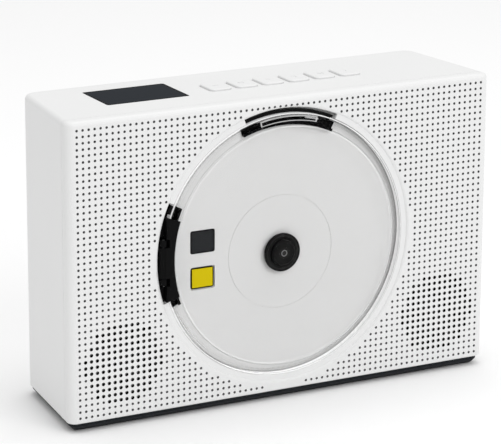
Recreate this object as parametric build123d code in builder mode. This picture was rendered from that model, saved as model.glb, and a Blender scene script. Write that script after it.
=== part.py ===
from build123d import *
import os
from math import atan, ceil, cos, degrees, floor, pi, radians, sin, sqrt, tan

# Wall mounted disc player, built piece by piece. Lengths are in millimetres.
# +Z is up, the front faces -Y, and X runs to the right as seen from the front.
# The origin lies on the surface under the feet, in the middle of the whole.
# Depths are measured from the front face into the cabinet.

# ---- Driving dimensions ----

# Disc bay: a round recess for a 120 mm disc, which the whole cabinet is laid out around
disc_radius = 60.0
bay_room = 18.4
bay_top_margin = 6.0
bay_bottom_margin = 6.2
bay_lip = 1.8
collar_thickness = 2.2
ledge_depth = 0.9
ledge_thickness = 1.6
ledge_clearance = 0.5
ledge_end_angle = 0.8

# Cabinet
body_depth = 77.0
rear_narrowing = 8.5
wall = 2.5
front_corner = 5.0
rear_corner = 8.0
top_edge = 3.0
bottom_edge = 1.2
least_corner = 0.5
least_edge = 0.3
least_difference = 0.01
seam_depth = 7.0
seam_gap = 0.2
lip_thickness = 1.3
lip_reach = 3.0
lip_root = 1.0
lip_clearance = 0.15

# Four long posts clamp the front, the sleeve and the back panel together
case_post_radius = 4.4
case_boss_radius = 3.6
case_post_side_inset = 24.6
case_post_top_inset = 13.2
case_post_driver_offset = 29.75
case_post_bottom_inset = 11.2
case_tunnel_clearance = 0.5

# Base and feet
base_height = 4.5
base_inset = 1.8
base_corner = 4.2
base_chamfer = 2.5
base_pocket = 2.6
base_rim = 6.0
base_boss_radius = 3.2
base_boss_height = 6.0
base_screw_x = 45.0
base_screw_front_inset = 24.0
base_screw_rear_inset = 19.0
base_screw_land = 2.5
base_screw_recess_clearance = 0.4
foot_radius = 8.5
foot_thickness = 1.6
foot_recess = 0.8
foot_chamfer = 0.4
foot_land = 2.0
foot_side_inset = 20.0
foot_front_inset = 16.0
foot_rear_inset = 17.0

# Perforated front: a square grid of holes, open where it covers a driver
hole_pitch = 3.5
hole_radius = 0.95
hole_top_margin = 4.7
hole_bottom_margin = 2.2
hole_field_radius = 23.0

# Deck behind the bay, held by four ears
deck_depth = 6.0
deck_thickness = 2.0
deck_clearance = 0.3
deck_groove_radius = 32.6
deck_groove_width = 0.4
deck_groove_depth = 0.2
deck_bore_radius = 5.0
ear_screw_offset = 7.6
ear_root = 10.0
ear_width = 9.0
ear_corner = 2.0
ear_thickness = 1.6
ear_boss_radius = 3.2
spindle_drop = 4.8

# Two square inlays at the left of the deck, and the pickup window at the right
inlay_width = 15.0
inlay_height = 13.0
inlay_corner = 1.2
inlay_x = -48.5
charcoal_z = 7.2
yellow_z = -13.6
yellow_inset = 0.5
yellow_drop = 0.3
window_thickness = 1.0
window_seat = 1.0
pickup_slot_height = 11.0
pickup_slot_room = 7.0
fit_gap = 0.1

# Clear lid
rim_gap = 3.4
lid_slope_width = 6.4
lid_proud = 1.2
lid_wall = 1.6
rim_shoulder = 0.6
rim_edge = 0.5
rim_foot = 4.6
rim_foot_width = 2.8
tab_arc = (75.0, 103.0)
tab_inset = 2.3
tab_wall = 0.8
tab_recess = 1.0
keeper_thickness = 0.5
keeper_inset = 0.5
keeper_end_angle = 2.0
keeper_clearance = 0.1

# Hinge at the left of the lid, catch at the top
channel_floor = 0.9
channel_inset = 0.4
channel_inner_wall = 1.6
channel_outer_wall = 1.5
channel_clearance = 0.4
channel_inner_depth = 3.3
channel_outer_depth = 3.0
hinge_set_in = 3.4
hinge_depth = 1.0
knuckle_radius = 2.6
knuckle_half_length = 8.7
hinge_ear_radius = 2.1
hinge_ear_length = 3.6
ear_gap = 0.5
ear_pocket_half = 2.7
pin_radius = 0.8
running_clearance = 0.06
leaf_inset = 0.5
leaf_wall_gap = 0.8
leaf_from_pin = 1.2
leaf_depth = 2.6
leaf_proud = 0.6
leaf_edge = 0.8
leaf_web = 2.0
fence_drop = 0.2
fence_wall_gap = 0.5
fence_gap = 0.3
stub_angle = 1.5
stub_depth = 1.0
hinge_arc = (161.0, 197.0)
hinge_overrun = 5.3
notch_room = 1.4
notch_reach = 3.4
catch_arc = (66.0, 108.0)
catch_overrun = 2.65
magnet_length = 9.0
magnet_spread = 12.0

# Spindle
platform_radius = 11.0
platform_depth = 3.0
platform_thickness = 1.2
boss_radius = 7.3
boss_depth = 1.0
boss_bevel = 1.0
boss_bevel_depth = 0.8
hub_neck_radius = 3.4
hub_neck_flare = 0.8
hub_neck_reach = 1.0
hub_neck_chamfer = 0.6
claw_count = 3
claw_width = 2.4
claw_length = 1.8
claw_corner = 0.5
claw_inset = 0.6
claw_drop = 1.0
shaft_radius = 1.0
shaft_recess = 0.1
shaft_stop = 0.8
shaft_end_gap = 0.2
motor_radius = 12.0
motor_length = 8.8
motor_bevel = 0.6
motor_neck_radius = 3.5

# Disc mechanism: chassis on rubber dampers, rods, sled, and the gear train that moves it
chassis_depth = 11.0
chassis_thickness = 1.2
chassis_corner = 4.0
chassis_left = -22.0
chassis_top = 28.4
chassis_bottom = -43.0
chassis_end_room = 1.0
chassis_slot_room = 1.0
rod_radius = 1.5
rod_offset = 14.0
rod_depth = 16.0
rod_wall = 1.5
rod_cover = 1.0
rod_start_room = 5.0
rod_end_room = 4.0
block_length = 3.0
lens_start = 22.0
lens_radius = 2.2
lens_height = 0.6
lens_edge = 0.2
disc_edge_margin = 2.0
sled_before_lens = 8.0
sled_after_lens = 12.0
sled_corner = 2.0
sled_thickness = 5.6
sled_half_height = 18.5
head_width = 10.0
head_clearance = 0.5
head_corner = 1.5
head_gap = 0.8
rack_offset = 1.9
rack_near = 14.0
rack_thickness = 2.0
rack_end_room = 1.6
rack_root = 1.0
gear_module = 0.5
small_teeth = 12
big_teeth = 36
addendum_share = 0.65
dedendum_share = 0.95
backlash = 0.12
pressure_angle = 20.0
big_gear_gap = 1.2
big_gear_thickness = 1.6
gear_end_gap = 0.2
pinion_overhang = 0.3
axle_radius = 0.8
axle_set_in = 0.2
axle_collar_radius = 2.4
axle_collar_gap = 0.6
axle_cap_radius = 1.6
axle_cap_gap = 0.4
axle_cap_thickness = 0.6
feed_motor_radius = 6.0
feed_motor_length = 7.2
feed_motor_neck_radius = 2.3
feed_motor_neck_clearance = 0.1
feed_motor_floor = 1.0
feed_motor_step = 0.5
damper_radius = 4.0
damper_groove = 1.4
damper_end = 1.4
damper_inset_left = 5.0
damper_inset_top = 5.2
damper_inset_bottom = 6.0
damper_post_radius = 3.2
damper_post_height = 1.6
damper_pilot_floor = 0.8

# Loudspeaker drivers, one in each lower corner beside the bay
flange_radius = 26.2
flange_thickness = 1.5
driver_opening = 23.7
driver_side_margin = 6.65
driver_bottom_margin = 5.0
driver_bay_gap = 6.0
driver_seat = 2.0
driver_seat_margin = 0.5
driver_screw_offset = 20.0
driver_screw_reach = 1.0
basket_inset = 0.2
basket_wall = 1.2
basket_step = 0.4
basket_length = 13.0
basket_bore = 9.0
magnet_radius = 16.0
magnet_bevel = 1.0
magnet_bevel_length = 1.5
driver_length = 24.0
coil_gap_inner = 6.2
coil_gap_outer = 7.6
pole_rise = 2.0
yoke_thickness = 3.0
cone_length = 9.5
cone_thickness = 0.6
cone_rim_drop = 1.0
coil_inner = 6.7
coil_reach = 1.5
coil_wall = 0.6
cap_radius = 3.5
cap_height = 3.4
cap_shoulder = 3.0
cap_foot = 1.2
cap_inset = 0.2
roll_width = 4.0
roll_rise = 1.6
roll_seat = 0.4

# Display in the top, with a module under it on two tabs
display_width = 50.0
display_length = 34.0
display_corner = 1.5
display_side_margin = 62.6
display_depth = 44.5
display_lens = 1.2
display_ledge = 2.0
display_glass_clearance = 0.5
display_glass_gap = 0.3
display_tab_offset = 4.2
display_tab_forward = 6.0
display_tab_size = 8.0
display_boss_length = 3.0
module_side_room = 2.0
module_end_inset = 1.0

# Keys in the top, over one switch board
key_count = 6
key_width = 12.9
key_length = 17.0
key_corner = 3.0
key_edge = 0.7
key_pitch = 16.5
first_key_offset = 46.4
key_depth = 39.0
key_proud = 1.2
key_travel = 0.8
key_clearance = 0.3
key_flange = 1.0
key_flange_reach = 1.1
key_play = 0.1
key_stem_radius = 1.8
mark_depth = 0.25
mark_line = 0.8
mark_width = 4.2
mark_height = 2.8
mark_arrow_radius = 1.9
mark_post_shift = 2.0
mark_dot_radius = 1.1
switch_size = 6.0
switch_height = 2.5
plunger_radius = 1.7
plunger_height = 0.8
board_thickness = 1.6
board_corner = 2.0
key_board_drop = 11.4
key_board_end_room = 12.0
key_board_side_room = 6.0
key_boss_inset = 3.4
top_screw_reach = 5.0
tab_screw_reach = 0.5

# Back panel: set into the sleeve, with keyholes for hanging and openings for the sockets
back_side_inset = 9.1
back_edge_inset = 4.0
back_corner = 3.0
back_seat = 2.0
back_flange = 1.5
back_gap = 0.2
keyhole_spacing = 120.0
keyhole_height = 45.0
keyhole_entry_radius = 4.5
keyhole_slot_radius = 2.2
keyhole_rise = 9.0
socket_height = -60.0
socket_flush = 0.4
socket_gap = 0.3
inlet_x = -30.0
inlet_width = 8.9
inlet_height = 3.2
inlet_wall = 0.3
inlet_tongue_width = 6.7
inlet_tongue_height = 0.7
inlet_cavity = 6.6
inlet_body = (12.0, 8.0, 11.0)
audio_x = 0.0
audio_barrel_radius = 3.2
audio_bore_radius = 1.8
audio_bore_length = 13.0
audio_body = (9.0, 9.0, 12.0)
power_x = 30.0
power_travel = 3.0
switch_body = (16.0, 8.0, 7.0)
switch_pocket = 3.0
knob_width = 4.0
knob_height = 3.4
knob_corner = 0.4
knob_shoe = 1.8
knob_shoe_thickness = 2.4
knob_gap = 0.3

# Main board on the back panel
board_width = 90.0
board_height = 58.0
board_rise = 6.0
board_standoff = 6.5
board_boss_inset = 4.0
board_screw_reach = 5.0
heatsink_place = (22.0, 8.0)
heatsink_width = 20.0
heatsink_height = 16.0
heatsink_base = 3.0
fin_count = 6
fin_height = 7.0
fin_thickness = 1.4
fin_inset = 0.3
capacitor_radius = 4.0
capacitor_length = 11.0
capacitor_xs = (-28.0, -14.0)
capacitor_zs = (0.0, 14.0)

# Screws
screw_radius = 1.5
screw_head_radius = 2.8
screw_head_height = 1.8
screw_clearance = 0.2
screw_boss_radius = 2.8
screw_tip_gap = 0.5
board_hole_clearance = 0.1
pilot_radius = 1.5
pilot_floor = 0.5
overcut = 1.0

# ---- Worked out from the driving dimensions ----

# Heights and depths of the cabinet
bay_radius = disc_radius + bay_room
body_height = 2 * bay_radius + bay_top_margin + bay_bottom_margin
leaf_front = -(lid_proud + leaf_proud)
front_y = -(body_depth + leaf_front) / 2
foot_drop = foot_thickness - foot_recess
body_bottom = foot_drop + base_height
body_top = body_bottom + body_height
inner_top = body_top - wall
inner_bottom = body_bottom + wall
back_inner = body_depth - wall
lip_inset = wall + lip_clearance + lip_thickness
collar_end = deck_depth + deck_thickness

# Hole grid, bay and spindle
hole_rows = int((body_height - hole_top_margin - hole_bottom_margin) / hole_pitch) + 1
grid_z = body_top - hole_top_margin - (hole_rows - 1) / 2 * hole_pitch
bay_z = body_bottom + bay_bottom_margin + bay_radius
spindle_z = bay_z - spindle_drop

# A driver stands as low as its margin lets it, on a row of the grid, and halfway between two
# columns, as near to the bay as its gap lets it. The width of the cabinet follows from that.
driver_row = floor((grid_z - body_bottom - driver_bottom_margin - flange_radius) / hole_pitch)
driver_z = grid_z - driver_row * hole_pitch
driver_bay_distance = bay_radius + collar_thickness + flange_radius + driver_bay_gap
driver_nearest_x = sqrt(driver_bay_distance ** 2 - (bay_z - driver_z) ** 2)
driver_x = (ceil(driver_nearest_x / hole_pitch - 0.5) + 0.5) * hole_pitch
body_width = 2 * (driver_x + flange_radius + driver_side_margin)
front_half = body_width / 2
rear_half = front_half - rear_narrowing
seat_depth = wall + driver_seat

# Fasteners
case_post_depth = 2 * seam_depth
case_posts = [
    (side * (front_half - case_post_side_inset), body_top - case_post_top_inset) for side in (-1, 1)
] + [
    (side * (driver_x - case_post_driver_offset), body_bottom + case_post_bottom_inset) for side in (-1, 1)
]
deck_ear_angles = (45.0, 135.0, 225.0, 315.0)
ear_screw_radius = bay_radius + ear_screw_offset


def front_plane(depth):
    """The plane at this depth, looked at from the front: X right, Z up."""
    return Plane.XZ.offset(-(front_y + depth))


def floor_plane(height):
    return Plane.XY.offset(height)


def turned(profile, x, z):
    """A piece turned about an axis that runs front to back, from radius and depth pairs."""
    with BuildPart() as piece:
        with BuildSketch(floor_plane(z)):
            with BuildLine():
                Polyline(*[(x + radius, front_y + depth) for radius, depth in profile], close=True)
            make_face()
        revolve(axis=Axis((x, 0, z), (0, 1, 0)))
    return piece.part


def ring_sector(inner, outer, arc, near, far):
    """A stretch of a flat ring around the bay centre, between two angles and two depths."""
    start, end = arc
    with BuildPart() as piece:
        with BuildSketch(front_plane(near)):
            with BuildLine():
                outer_arc = CenterArc((0, bay_z), outer, start, end - start)
                inner_arc = CenterArc((0, bay_z), inner, start, end - start)
                Line(outer_arc @ 0, inner_arc @ 0)
                Line(outer_arc @ 1, inner_arc @ 1)
            make_face()
        extrude(amount=near - far)
    return piece.part


def widened(arc, amount):
    """The same arc with this many degrees more at each end."""
    return (arc[0] - amount, arc[1] + amount)


def cabinet_outline(inset):
    """The tapered outline of the cabinet seen from above, pulled in by the inset."""
    with BuildSketch() as outline:
        with BuildLine():
            Polyline(
                (-front_half, front_y),
                (front_half, front_y),
                (rear_half, front_y + body_depth),
                (-rear_half, front_y + body_depth),
                close=True,
            )
        make_face()
        if inset:
            offset(amount=-inset, kind=Kind.INTERSECTION)
    return outline.sketch


def cabinet_block(inset):
    """The tapered cabinet form, pulled in on every side by the inset."""
    with BuildPart() as block:
        with BuildSketch(floor_plane(body_bottom + inset)):
            add(cabinet_outline(inset))
        extrude(amount=body_height - 2 * inset)
        uprights = block.edges().filter_by(Axis.Z).group_by(Axis.Y)
        fillet(uprights[0], max(front_corner - inset, least_corner))
        uprights = block.edges().filter_by(Axis.Z).group_by(Axis.Y)
        fillet(uprights[-1], max(rear_corner - inset, least_corner))
        fillet(block.faces().sort_by(Axis.Z)[-1].edges(), max(top_edge - inset, least_edge))
        fillet(block.faces().sort_by(Axis.Z)[0].edges(), max(bottom_edge - inset, least_edge))
    return block.part


def depth_slab(near, far):
    """Everything between two depths."""
    with BuildPart() as slab:
        with BuildSketch(front_plane(near)):
            with Locations((0, grid_z)):
                Rectangle(2 * body_width, 2 * body_height)
        extrude(amount=near - far)
    return slab.part


def cabinet_ring(outer_inset, inner_inset, near, far):
    """A stretch of the cabinet wall, between two insets and two depths."""
    with BuildPart() as ring:
        add(cabinet_block(outer_inset))
        add(cabinet_block(inner_inset), mode=Mode.SUBTRACT)
        add(depth_slab(near, far), mode=Mode.INTERSECT)
    return ring.part


def screw(head_depth, tip_depth, x, z):
    """A pan head screw that points from its head towards the front."""
    return turned(
        [
            (0, tip_depth),
            (screw_radius, tip_depth),
            (screw_radius, head_depth),
            (screw_head_radius, head_depth),
            (screw_head_radius, head_depth + screw_head_height),
            (0, head_depth + screw_head_height),
        ],
        x,
        z,
    )


def deck_ear_place(angle, radius):
    """A point on the middle line of a deck ear, in X and Z."""
    return (radius * cos(radians(angle)), bay_z + radius * sin(radians(angle)))


def driver_hole_places(side):
    """Grid points of the perforation that lie over one driver."""
    places = []
    reach = int(hole_field_radius / hole_pitch) + 1
    for column in range(-reach, reach + 1):
        for row in range(-reach, reach + 1):
            dx = (column + 0.5) * hole_pitch
            dz = row * hole_pitch
            if dx * dx + dz * dz < hole_field_radius ** 2:
                places.append((side * driver_x + dx, driver_z + dz))
    return places


def driver_screw_places(side):
    return [
        (side * driver_x + dx, driver_z + dz)
        for dx in (-driver_screw_offset, driver_screw_offset)
        for dz in (-driver_screw_offset, driver_screw_offset)
    ]


ear_screw_places = [deck_ear_place(angle, ear_screw_radius) for angle in deck_ear_angles]
screw_hole_radius = screw_radius + screw_clearance
thread_hole_radius = screw_radius + board_hole_clearance

# ---- Front panel: perforated face, rounded edges, bay collar with its ledge, and bosses ----

rim_radius = bay_radius - rim_gap

with BuildPart() as front_panel:
    add(cabinet_ring(0, wall, -overcut, seam_depth))
    add(cabinet_ring(wall, lip_inset, lip_inset, seam_depth))
    add(cabinet_ring(wall + lip_clearance, lip_inset, seam_depth - lip_root, seam_depth + lip_reach))
    with BuildSketch(front_plane(wall)):
        with Locations((0, bay_z)):
            Circle(bay_radius + collar_thickness)
    extrude(amount=wall - collar_end)
    with BuildSketch(front_plane(wall)):
        with Locations(*case_posts):
            Circle(case_boss_radius)
    extrude(amount=wall - case_post_depth)
    with BuildSketch(front_plane(wall)):
        with Locations(*ear_screw_places):
            Circle(ear_boss_radius)
    extrude(amount=wall - collar_end)
    for side in (-1, 1):
        with BuildSketch(front_plane(wall)):
            with Locations((side * driver_x, driver_z)):
                Circle(flange_radius)
                Circle(driver_opening + driver_seat_margin, mode=Mode.SUBTRACT)
            with Locations(*driver_screw_places(side)):
                Circle(screw_boss_radius)
        extrude(amount=-driver_seat)
    with BuildSketch(front_plane(-overcut)):
        with Locations((0, bay_z)):
            Circle(bay_radius)
    extrude(amount=-(collar_end + 2 * overcut), mode=Mode.SUBTRACT)
    bay_rims = front_panel.edges().filter_by(GeomType.CIRCLE).filter_by(
        lambda edge: abs(edge.radius - bay_radius) < least_difference
    )
    fillet(bay_rims.sort_by(Axis.Y)[0], bay_lip)
    # a shallow ledge round the lid, left out where the hinge and the catch stand
    for ledge_arc in (
        (hinge_arc[1] + ledge_end_angle, 360 + catch_arc[0] - ledge_end_angle),
        (catch_arc[1] + ledge_end_angle, hinge_arc[0] - hinge_overrun - ledge_end_angle),
    ):
        add(
            ring_sector(
                rim_radius + ledge_clearance,
                bay_radius + bay_lip / 2,
                ledge_arc,
                ledge_depth,
                ledge_depth + ledge_thickness,
            )
        )
    with BuildSketch(front_plane(case_post_depth)):
        with Locations(*case_posts):
            Circle(pilot_radius)
    extrude(amount=case_post_depth - 2 * wall, mode=Mode.SUBTRACT)
    with BuildSketch(front_plane(collar_end)):
        with Locations(*ear_screw_places):
            Circle(pilot_radius)
    extrude(amount=collar_end - wall - pilot_floor, mode=Mode.SUBTRACT)
    for side in (-1, 1):
        with BuildSketch(front_plane(seat_depth)):
            with Locations(*driver_screw_places(side)):
                Circle(pilot_radius)
        extrude(amount=driver_seat + wall / 2, mode=Mode.SUBTRACT)
        with BuildSketch(front_plane(-overcut)):
            with Locations(*driver_hole_places(side)):
                Circle(hole_radius)
        extrude(amount=-(wall + 2 * overcut), mode=Mode.SUBTRACT)

# ---- Housing: tapered sleeve with a frame for the back panel and the top openings ----

key_hole_width = key_width + 2 * key_clearance
key_hole_length = key_length + 2 * key_clearance
display_x = display_side_margin - front_half
display_y = front_y + display_depth
key_y = front_y + key_depth
key_xs = [display_x + first_key_offset + n * key_pitch for n in range(key_count)]
key_places = [(x, key_y) for x in key_xs]
key_board_width = (key_count - 1) * key_pitch + key_width + 2 * key_board_end_room
key_board_length = key_length + 2 * key_board_side_room
key_board_x = (key_xs[0] + key_xs[-1]) / 2
key_board_top = body_top - key_board_drop
key_boss_places = [
    (
        key_board_x + side * (key_board_width / 2 - key_boss_inset),
        key_y + end * (key_board_length / 2 - key_boss_inset),
    )
    for side in (-1, 1)
    for end in (-1, 1)
]
display_tab_places = [
    (display_x + side * (display_width / 2 + display_tab_offset), display_y - display_tab_forward)
    for side in (-1, 1)
]
base_screw_places = [
    (side * base_screw_x, front_y + depth)
    for side in (-1, 1)
    for depth in (base_screw_front_inset, body_depth - base_screw_rear_inset)
]


def back_opening(inset):
    """The outline of the back panel's seat, pulled in by the inset, in the sketch that is open."""
    with Locations((0, (body_bottom + body_top) / 2)):
        RectangleRounded(
            2 * (rear_half - back_side_inset - inset),
            body_height - 2 * (back_edge_inset + inset),
            back_corner,
        )


with BuildPart() as housing:
    add(cabinet_ring(0, wall, seam_depth + seam_gap, body_depth + overcut))
    with BuildSketch(floor_plane(key_board_top)):
        with Locations(*key_boss_places):
            Circle(screw_boss_radius)
    extrude(amount=inner_top - key_board_top)
    with BuildSketch(floor_plane(inner_top - display_boss_length)):
        with Locations(*display_tab_places):
            Circle(screw_boss_radius)
    extrude(amount=display_boss_length)
    with BuildSketch(floor_plane(inner_bottom)):
        with Locations(*base_screw_places):
            Circle(base_boss_radius)
    extrude(amount=base_boss_height)
    # pilot holes in the bosses
    with BuildSketch(floor_plane(key_board_top)):
        with Locations(*key_boss_places):
            Circle(pilot_radius)
    extrude(amount=inner_top - key_board_top - pilot_floor, mode=Mode.SUBTRACT)
    with BuildSketch(floor_plane(inner_top - display_boss_length)):
        with Locations(*display_tab_places):
            Circle(pilot_radius)
    extrude(amount=display_boss_length + wall / 2, mode=Mode.SUBTRACT)
    with BuildSketch(floor_plane(body_bottom)):
        with Locations(*base_screw_places):
            Circle(pilot_radius)
    extrude(amount=wall + base_boss_height - pilot_floor, mode=Mode.SUBTRACT)
    # openings in the top
    with BuildSketch(floor_plane(body_top)):
        with Locations((display_x, display_y)):
            RectangleRounded(display_width, display_length, display_corner)
    extrude(amount=-display_lens, mode=Mode.SUBTRACT)
    with BuildSketch(floor_plane(body_top)):
        with Locations((display_x, display_y)):
            RectangleRounded(
                display_width - 2 * display_ledge, display_length - 2 * display_ledge, display_corner
            )
    extrude(amount=-2 * wall, mode=Mode.SUBTRACT)
    with BuildSketch(floor_plane(body_top)):
        with Locations(*key_places):
            RectangleRounded(key_hole_width, key_hole_length, key_corner + key_clearance)
    extrude(amount=-2 * wall, mode=Mode.SUBTRACT)
    # stepped seat for the back panel
    with BuildSketch(front_plane(body_depth - back_flange)):
        back_opening(0)
    extrude(amount=-2 * back_flange, mode=Mode.SUBTRACT)
    with BuildSketch(front_plane(back_inner - overcut)):
        back_opening(back_seat)
    extrude(amount=-(wall + 2 * overcut), mode=Mode.SUBTRACT)

# ---- Back panel: flat plate with the case posts, keyholes and socket openings ----

socket_z = grid_z + socket_height
board_z = socket_z + board_rise + board_height / 2
board_back = back_inner - board_standoff
board_boss_places = [
    (side * (board_width / 2 - board_boss_inset), board_z + end * (board_height / 2 - board_boss_inset))
    for side in (-1, 1)
    for end in (-1, 1)
]

with BuildPart() as back_panel:
    with BuildSketch(front_plane(body_depth - back_flange)):
        back_opening(back_gap)
    extrude(amount=-back_flange)
    with BuildSketch(front_plane(back_inner)):
        back_opening(back_seat + back_gap)
    extrude(amount=back_flange - wall)
    with BuildSketch(front_plane(case_post_depth)):
        with Locations(*case_posts):
            Circle(case_post_radius)
    extrude(amount=case_post_depth - back_inner)
    with BuildSketch(front_plane(board_back)):
        with Locations(*board_boss_places):
            Circle(screw_boss_radius)
    extrude(amount=-board_standoff)
    # tunnels for the long case screws, from the back
    with BuildSketch(front_plane(body_depth + overcut)):
        with Locations(*case_posts):
            Circle(screw_head_radius + case_tunnel_clearance)
    extrude(amount=body_depth + overcut - case_post_depth - wall, mode=Mode.SUBTRACT)
    with BuildSketch(front_plane(body_depth)):
        with Locations(*case_posts):
            Circle(screw_hole_radius)
    extrude(amount=body_depth, mode=Mode.SUBTRACT)
    with BuildSketch(front_plane(board_back)):
        with Locations(*board_boss_places):
            Circle(pilot_radius)
    extrude(amount=-(board_standoff + pilot_floor), mode=Mode.SUBTRACT)
    # keyholes for hanging, and the openings round the sockets and the switch
    with BuildSketch(front_plane(body_depth + overcut)):
        for side in (-1, 1):
            with Locations((side * keyhole_spacing / 2, grid_z + keyhole_height)):
                Circle(keyhole_entry_radius)
            with Locations((side * keyhole_spacing / 2, grid_z + keyhole_height + keyhole_rise / 2)):
                SlotCenterToCenter(keyhole_rise, 2 * keyhole_slot_radius, rotation=90)
        with Locations((inlet_x, socket_z)):
            SlotOverall(inlet_width + 2 * socket_gap, inlet_height + 2 * socket_gap)
        with Locations((audio_x, socket_z)):
            Circle(audio_barrel_radius + fit_gap)
        with Locations((power_x, socket_z)):
            RectangleRounded(
                knob_width + power_travel + 2 * socket_gap, knob_height + 2 * socket_gap, knob_corner
            )
    extrude(amount=2 * wall, mode=Mode.SUBTRACT)

# ---- Base: dark plinth screwed under the cabinet, with four rubber feet ----

foot_places = [
    (side * (rear_half - foot_side_inset), front_y + depth)
    for side in (-1, 1)
    for depth in (foot_front_inset, body_depth - foot_rear_inset)
]

with BuildPart() as base_plate:
    with BuildSketch(floor_plane(foot_drop)):
        add(cabinet_outline(base_inset))
    extrude(amount=base_height)
    fillet(base_plate.edges().filter_by(Axis.Z), base_corner)
    chamfer(base_plate.faces().sort_by(Axis.Z)[0].edges(), base_chamfer)
    with BuildSketch(floor_plane(body_bottom)):
        add(cabinet_outline(base_inset + base_rim))
        with Locations(*base_screw_places):
            Circle(screw_head_radius + base_screw_land, mode=Mode.SUBTRACT)
        with Locations(*foot_places):
            Circle(foot_radius + foot_land, mode=Mode.SUBTRACT)
    extrude(amount=-base_pocket, mode=Mode.SUBTRACT)
    with BuildSketch(floor_plane(foot_drop)):
        with Locations(*foot_places):
            Circle(foot_radius + fit_gap)
    extrude(amount=foot_recess, mode=Mode.SUBTRACT)
    with BuildSketch(floor_plane(foot_drop)):
        with Locations(*base_screw_places):
            Circle(screw_head_radius + base_screw_recess_clearance)
    extrude(amount=base_height - wall, mode=Mode.SUBTRACT)
    with BuildSketch(floor_plane(foot_drop)):
        with Locations(*base_screw_places):
            Circle(screw_hole_radius)
    extrude(amount=base_height, mode=Mode.SUBTRACT)

with BuildPart() as rubber_feet:
    with BuildSketch(floor_plane(0)):
        with Locations(*foot_places):
            Circle(foot_radius)
    extrude(amount=foot_thickness)
    chamfer(rubber_feet.faces().group_by(Axis.Z)[0].edges(), foot_chamfer)

# ---- Disc deck: round plate in the bay, held by four ears behind the collar ----

deck_radius = bay_radius - deck_clearance
sled_travel = disc_radius - disc_edge_margin - lens_start
sled_left = lens_start - sled_before_lens
sled_right = lens_start + sled_after_lens
gear_x = sled_right
rod_start = sled_left - rod_start_room
rod_end = sled_right + sled_travel + rod_end_room
chassis_right = rod_end + chassis_end_room
pickup_path = (lens_start - pickup_slot_room, lens_start + sled_travel + pickup_slot_room)
pickup_window_width = pickup_path[1] - pickup_path[0]
pickup_window_x = (pickup_path[0] + pickup_path[1]) / 2
pickup_window_height = pickup_slot_height + 2 * window_seat
damper_low = chassis_bottom + damper_inset_bottom
damper_high = chassis_top - damper_inset_top
damper_left = chassis_left + damper_inset_left
damper_right = floor(
    sqrt((deck_radius - damper_post_radius) ** 2 - (spindle_drop - damper_low) ** 2)
)
damper_places = [
    (x, spindle_z + z) for x in (damper_left, damper_right) for z in (damper_high, damper_low)
]
damper_post_depth = collar_end + damper_post_height
ear_start = bay_radius - ear_root
ear_end = ear_screw_radius + ear_width / 2


def deck_groove(depth):
    """The turned line round the spindle, cut into what lies at this depth."""
    with BuildPart() as groove:
        with BuildSketch(front_plane(depth)):
            with Locations((0, spindle_z)):
                Circle(deck_groove_radius + deck_groove_width / 2)
                Circle(deck_groove_radius - deck_groove_width / 2, mode=Mode.SUBTRACT)
        extrude(amount=-deck_groove_depth)
    return groove.part


with BuildPart() as disc_deck:
    with BuildSketch(front_plane(deck_depth)):
        with Locations((0, bay_z)):
            Circle(deck_radius)
    extrude(amount=-deck_thickness)
    for angle in deck_ear_angles:
        with BuildSketch(front_plane(collar_end)):
            with Locations(deck_ear_place(angle, (ear_start + ear_end) / 2)):
                RectangleRounded(ear_end - ear_start, ear_width, ear_corner, rotation=angle)
        extrude(amount=-ear_thickness)
    with BuildSketch(front_plane(collar_end)):
        with Locations(*damper_places):
            Circle(damper_post_radius)
    extrude(amount=-damper_post_height)
    with BuildSketch(front_plane(0)):
        with Locations((0, spindle_z)):
            Circle(deck_bore_radius)
    extrude(amount=-2 * collar_end, mode=Mode.SUBTRACT)
    add(deck_groove(deck_depth), mode=Mode.SUBTRACT)
    with BuildSketch(front_plane(deck_depth)):
        with Locations((pickup_window_x, spindle_z)):
            Rectangle(pickup_window_width, pickup_window_height)
        with Locations((inlay_x, bay_z + charcoal_z), (inlay_x, bay_z + yellow_z)):
            RectangleRounded(inlay_width + 2 * fit_gap, inlay_height + 2 * fit_gap, inlay_corner)
    extrude(amount=-window_thickness, mode=Mode.SUBTRACT)
    with BuildSketch(front_plane(deck_depth)):
        with Locations((pickup_window_x, spindle_z)):
            Rectangle(pickup_window_width - 2 * window_seat, pickup_slot_height)
    extrude(amount=-2 * deck_thickness, mode=Mode.SUBTRACT)
    with BuildSketch(front_plane(0)):
        with Locations(*ear_screw_places):
            Circle(screw_hole_radius)
    extrude(amount=-(collar_end + 2 * ear_thickness), mode=Mode.SUBTRACT)
    with BuildSketch(front_plane(damper_post_depth)):
        with Locations(*damper_places):
            Circle(pilot_radius)
    extrude(amount=damper_post_depth - deck_depth - damper_pilot_floor, mode=Mode.SUBTRACT)

with BuildPart() as pickup_window:
    with BuildSketch(front_plane(deck_depth)):
        with Locations((pickup_window_x, spindle_z)):
            Rectangle(pickup_window_width, pickup_window_height)
    extrude(amount=-window_thickness)
    add(deck_groove(deck_depth), mode=Mode.SUBTRACT)

with BuildPart() as charcoal_window:
    with BuildSketch(front_plane(deck_depth)):
        with Locations((inlay_x, bay_z + charcoal_z)):
            RectangleRounded(inlay_width, inlay_height, inlay_corner)
    extrude(amount=-window_thickness)

with BuildPart() as yellow_pad:
    with BuildSketch(front_plane(deck_depth + yellow_drop)):
        with Locations((inlay_x, bay_z + yellow_z)):
            RectangleRounded(inlay_width - 2 * yellow_inset, inlay_height - 2 * yellow_inset, inlay_corner)
    extrude(amount=yellow_drop - window_thickness)

# ---- Clear lid: flat disc with a sloped rim, a grip tab over the catch, and its keeper ----

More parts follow.
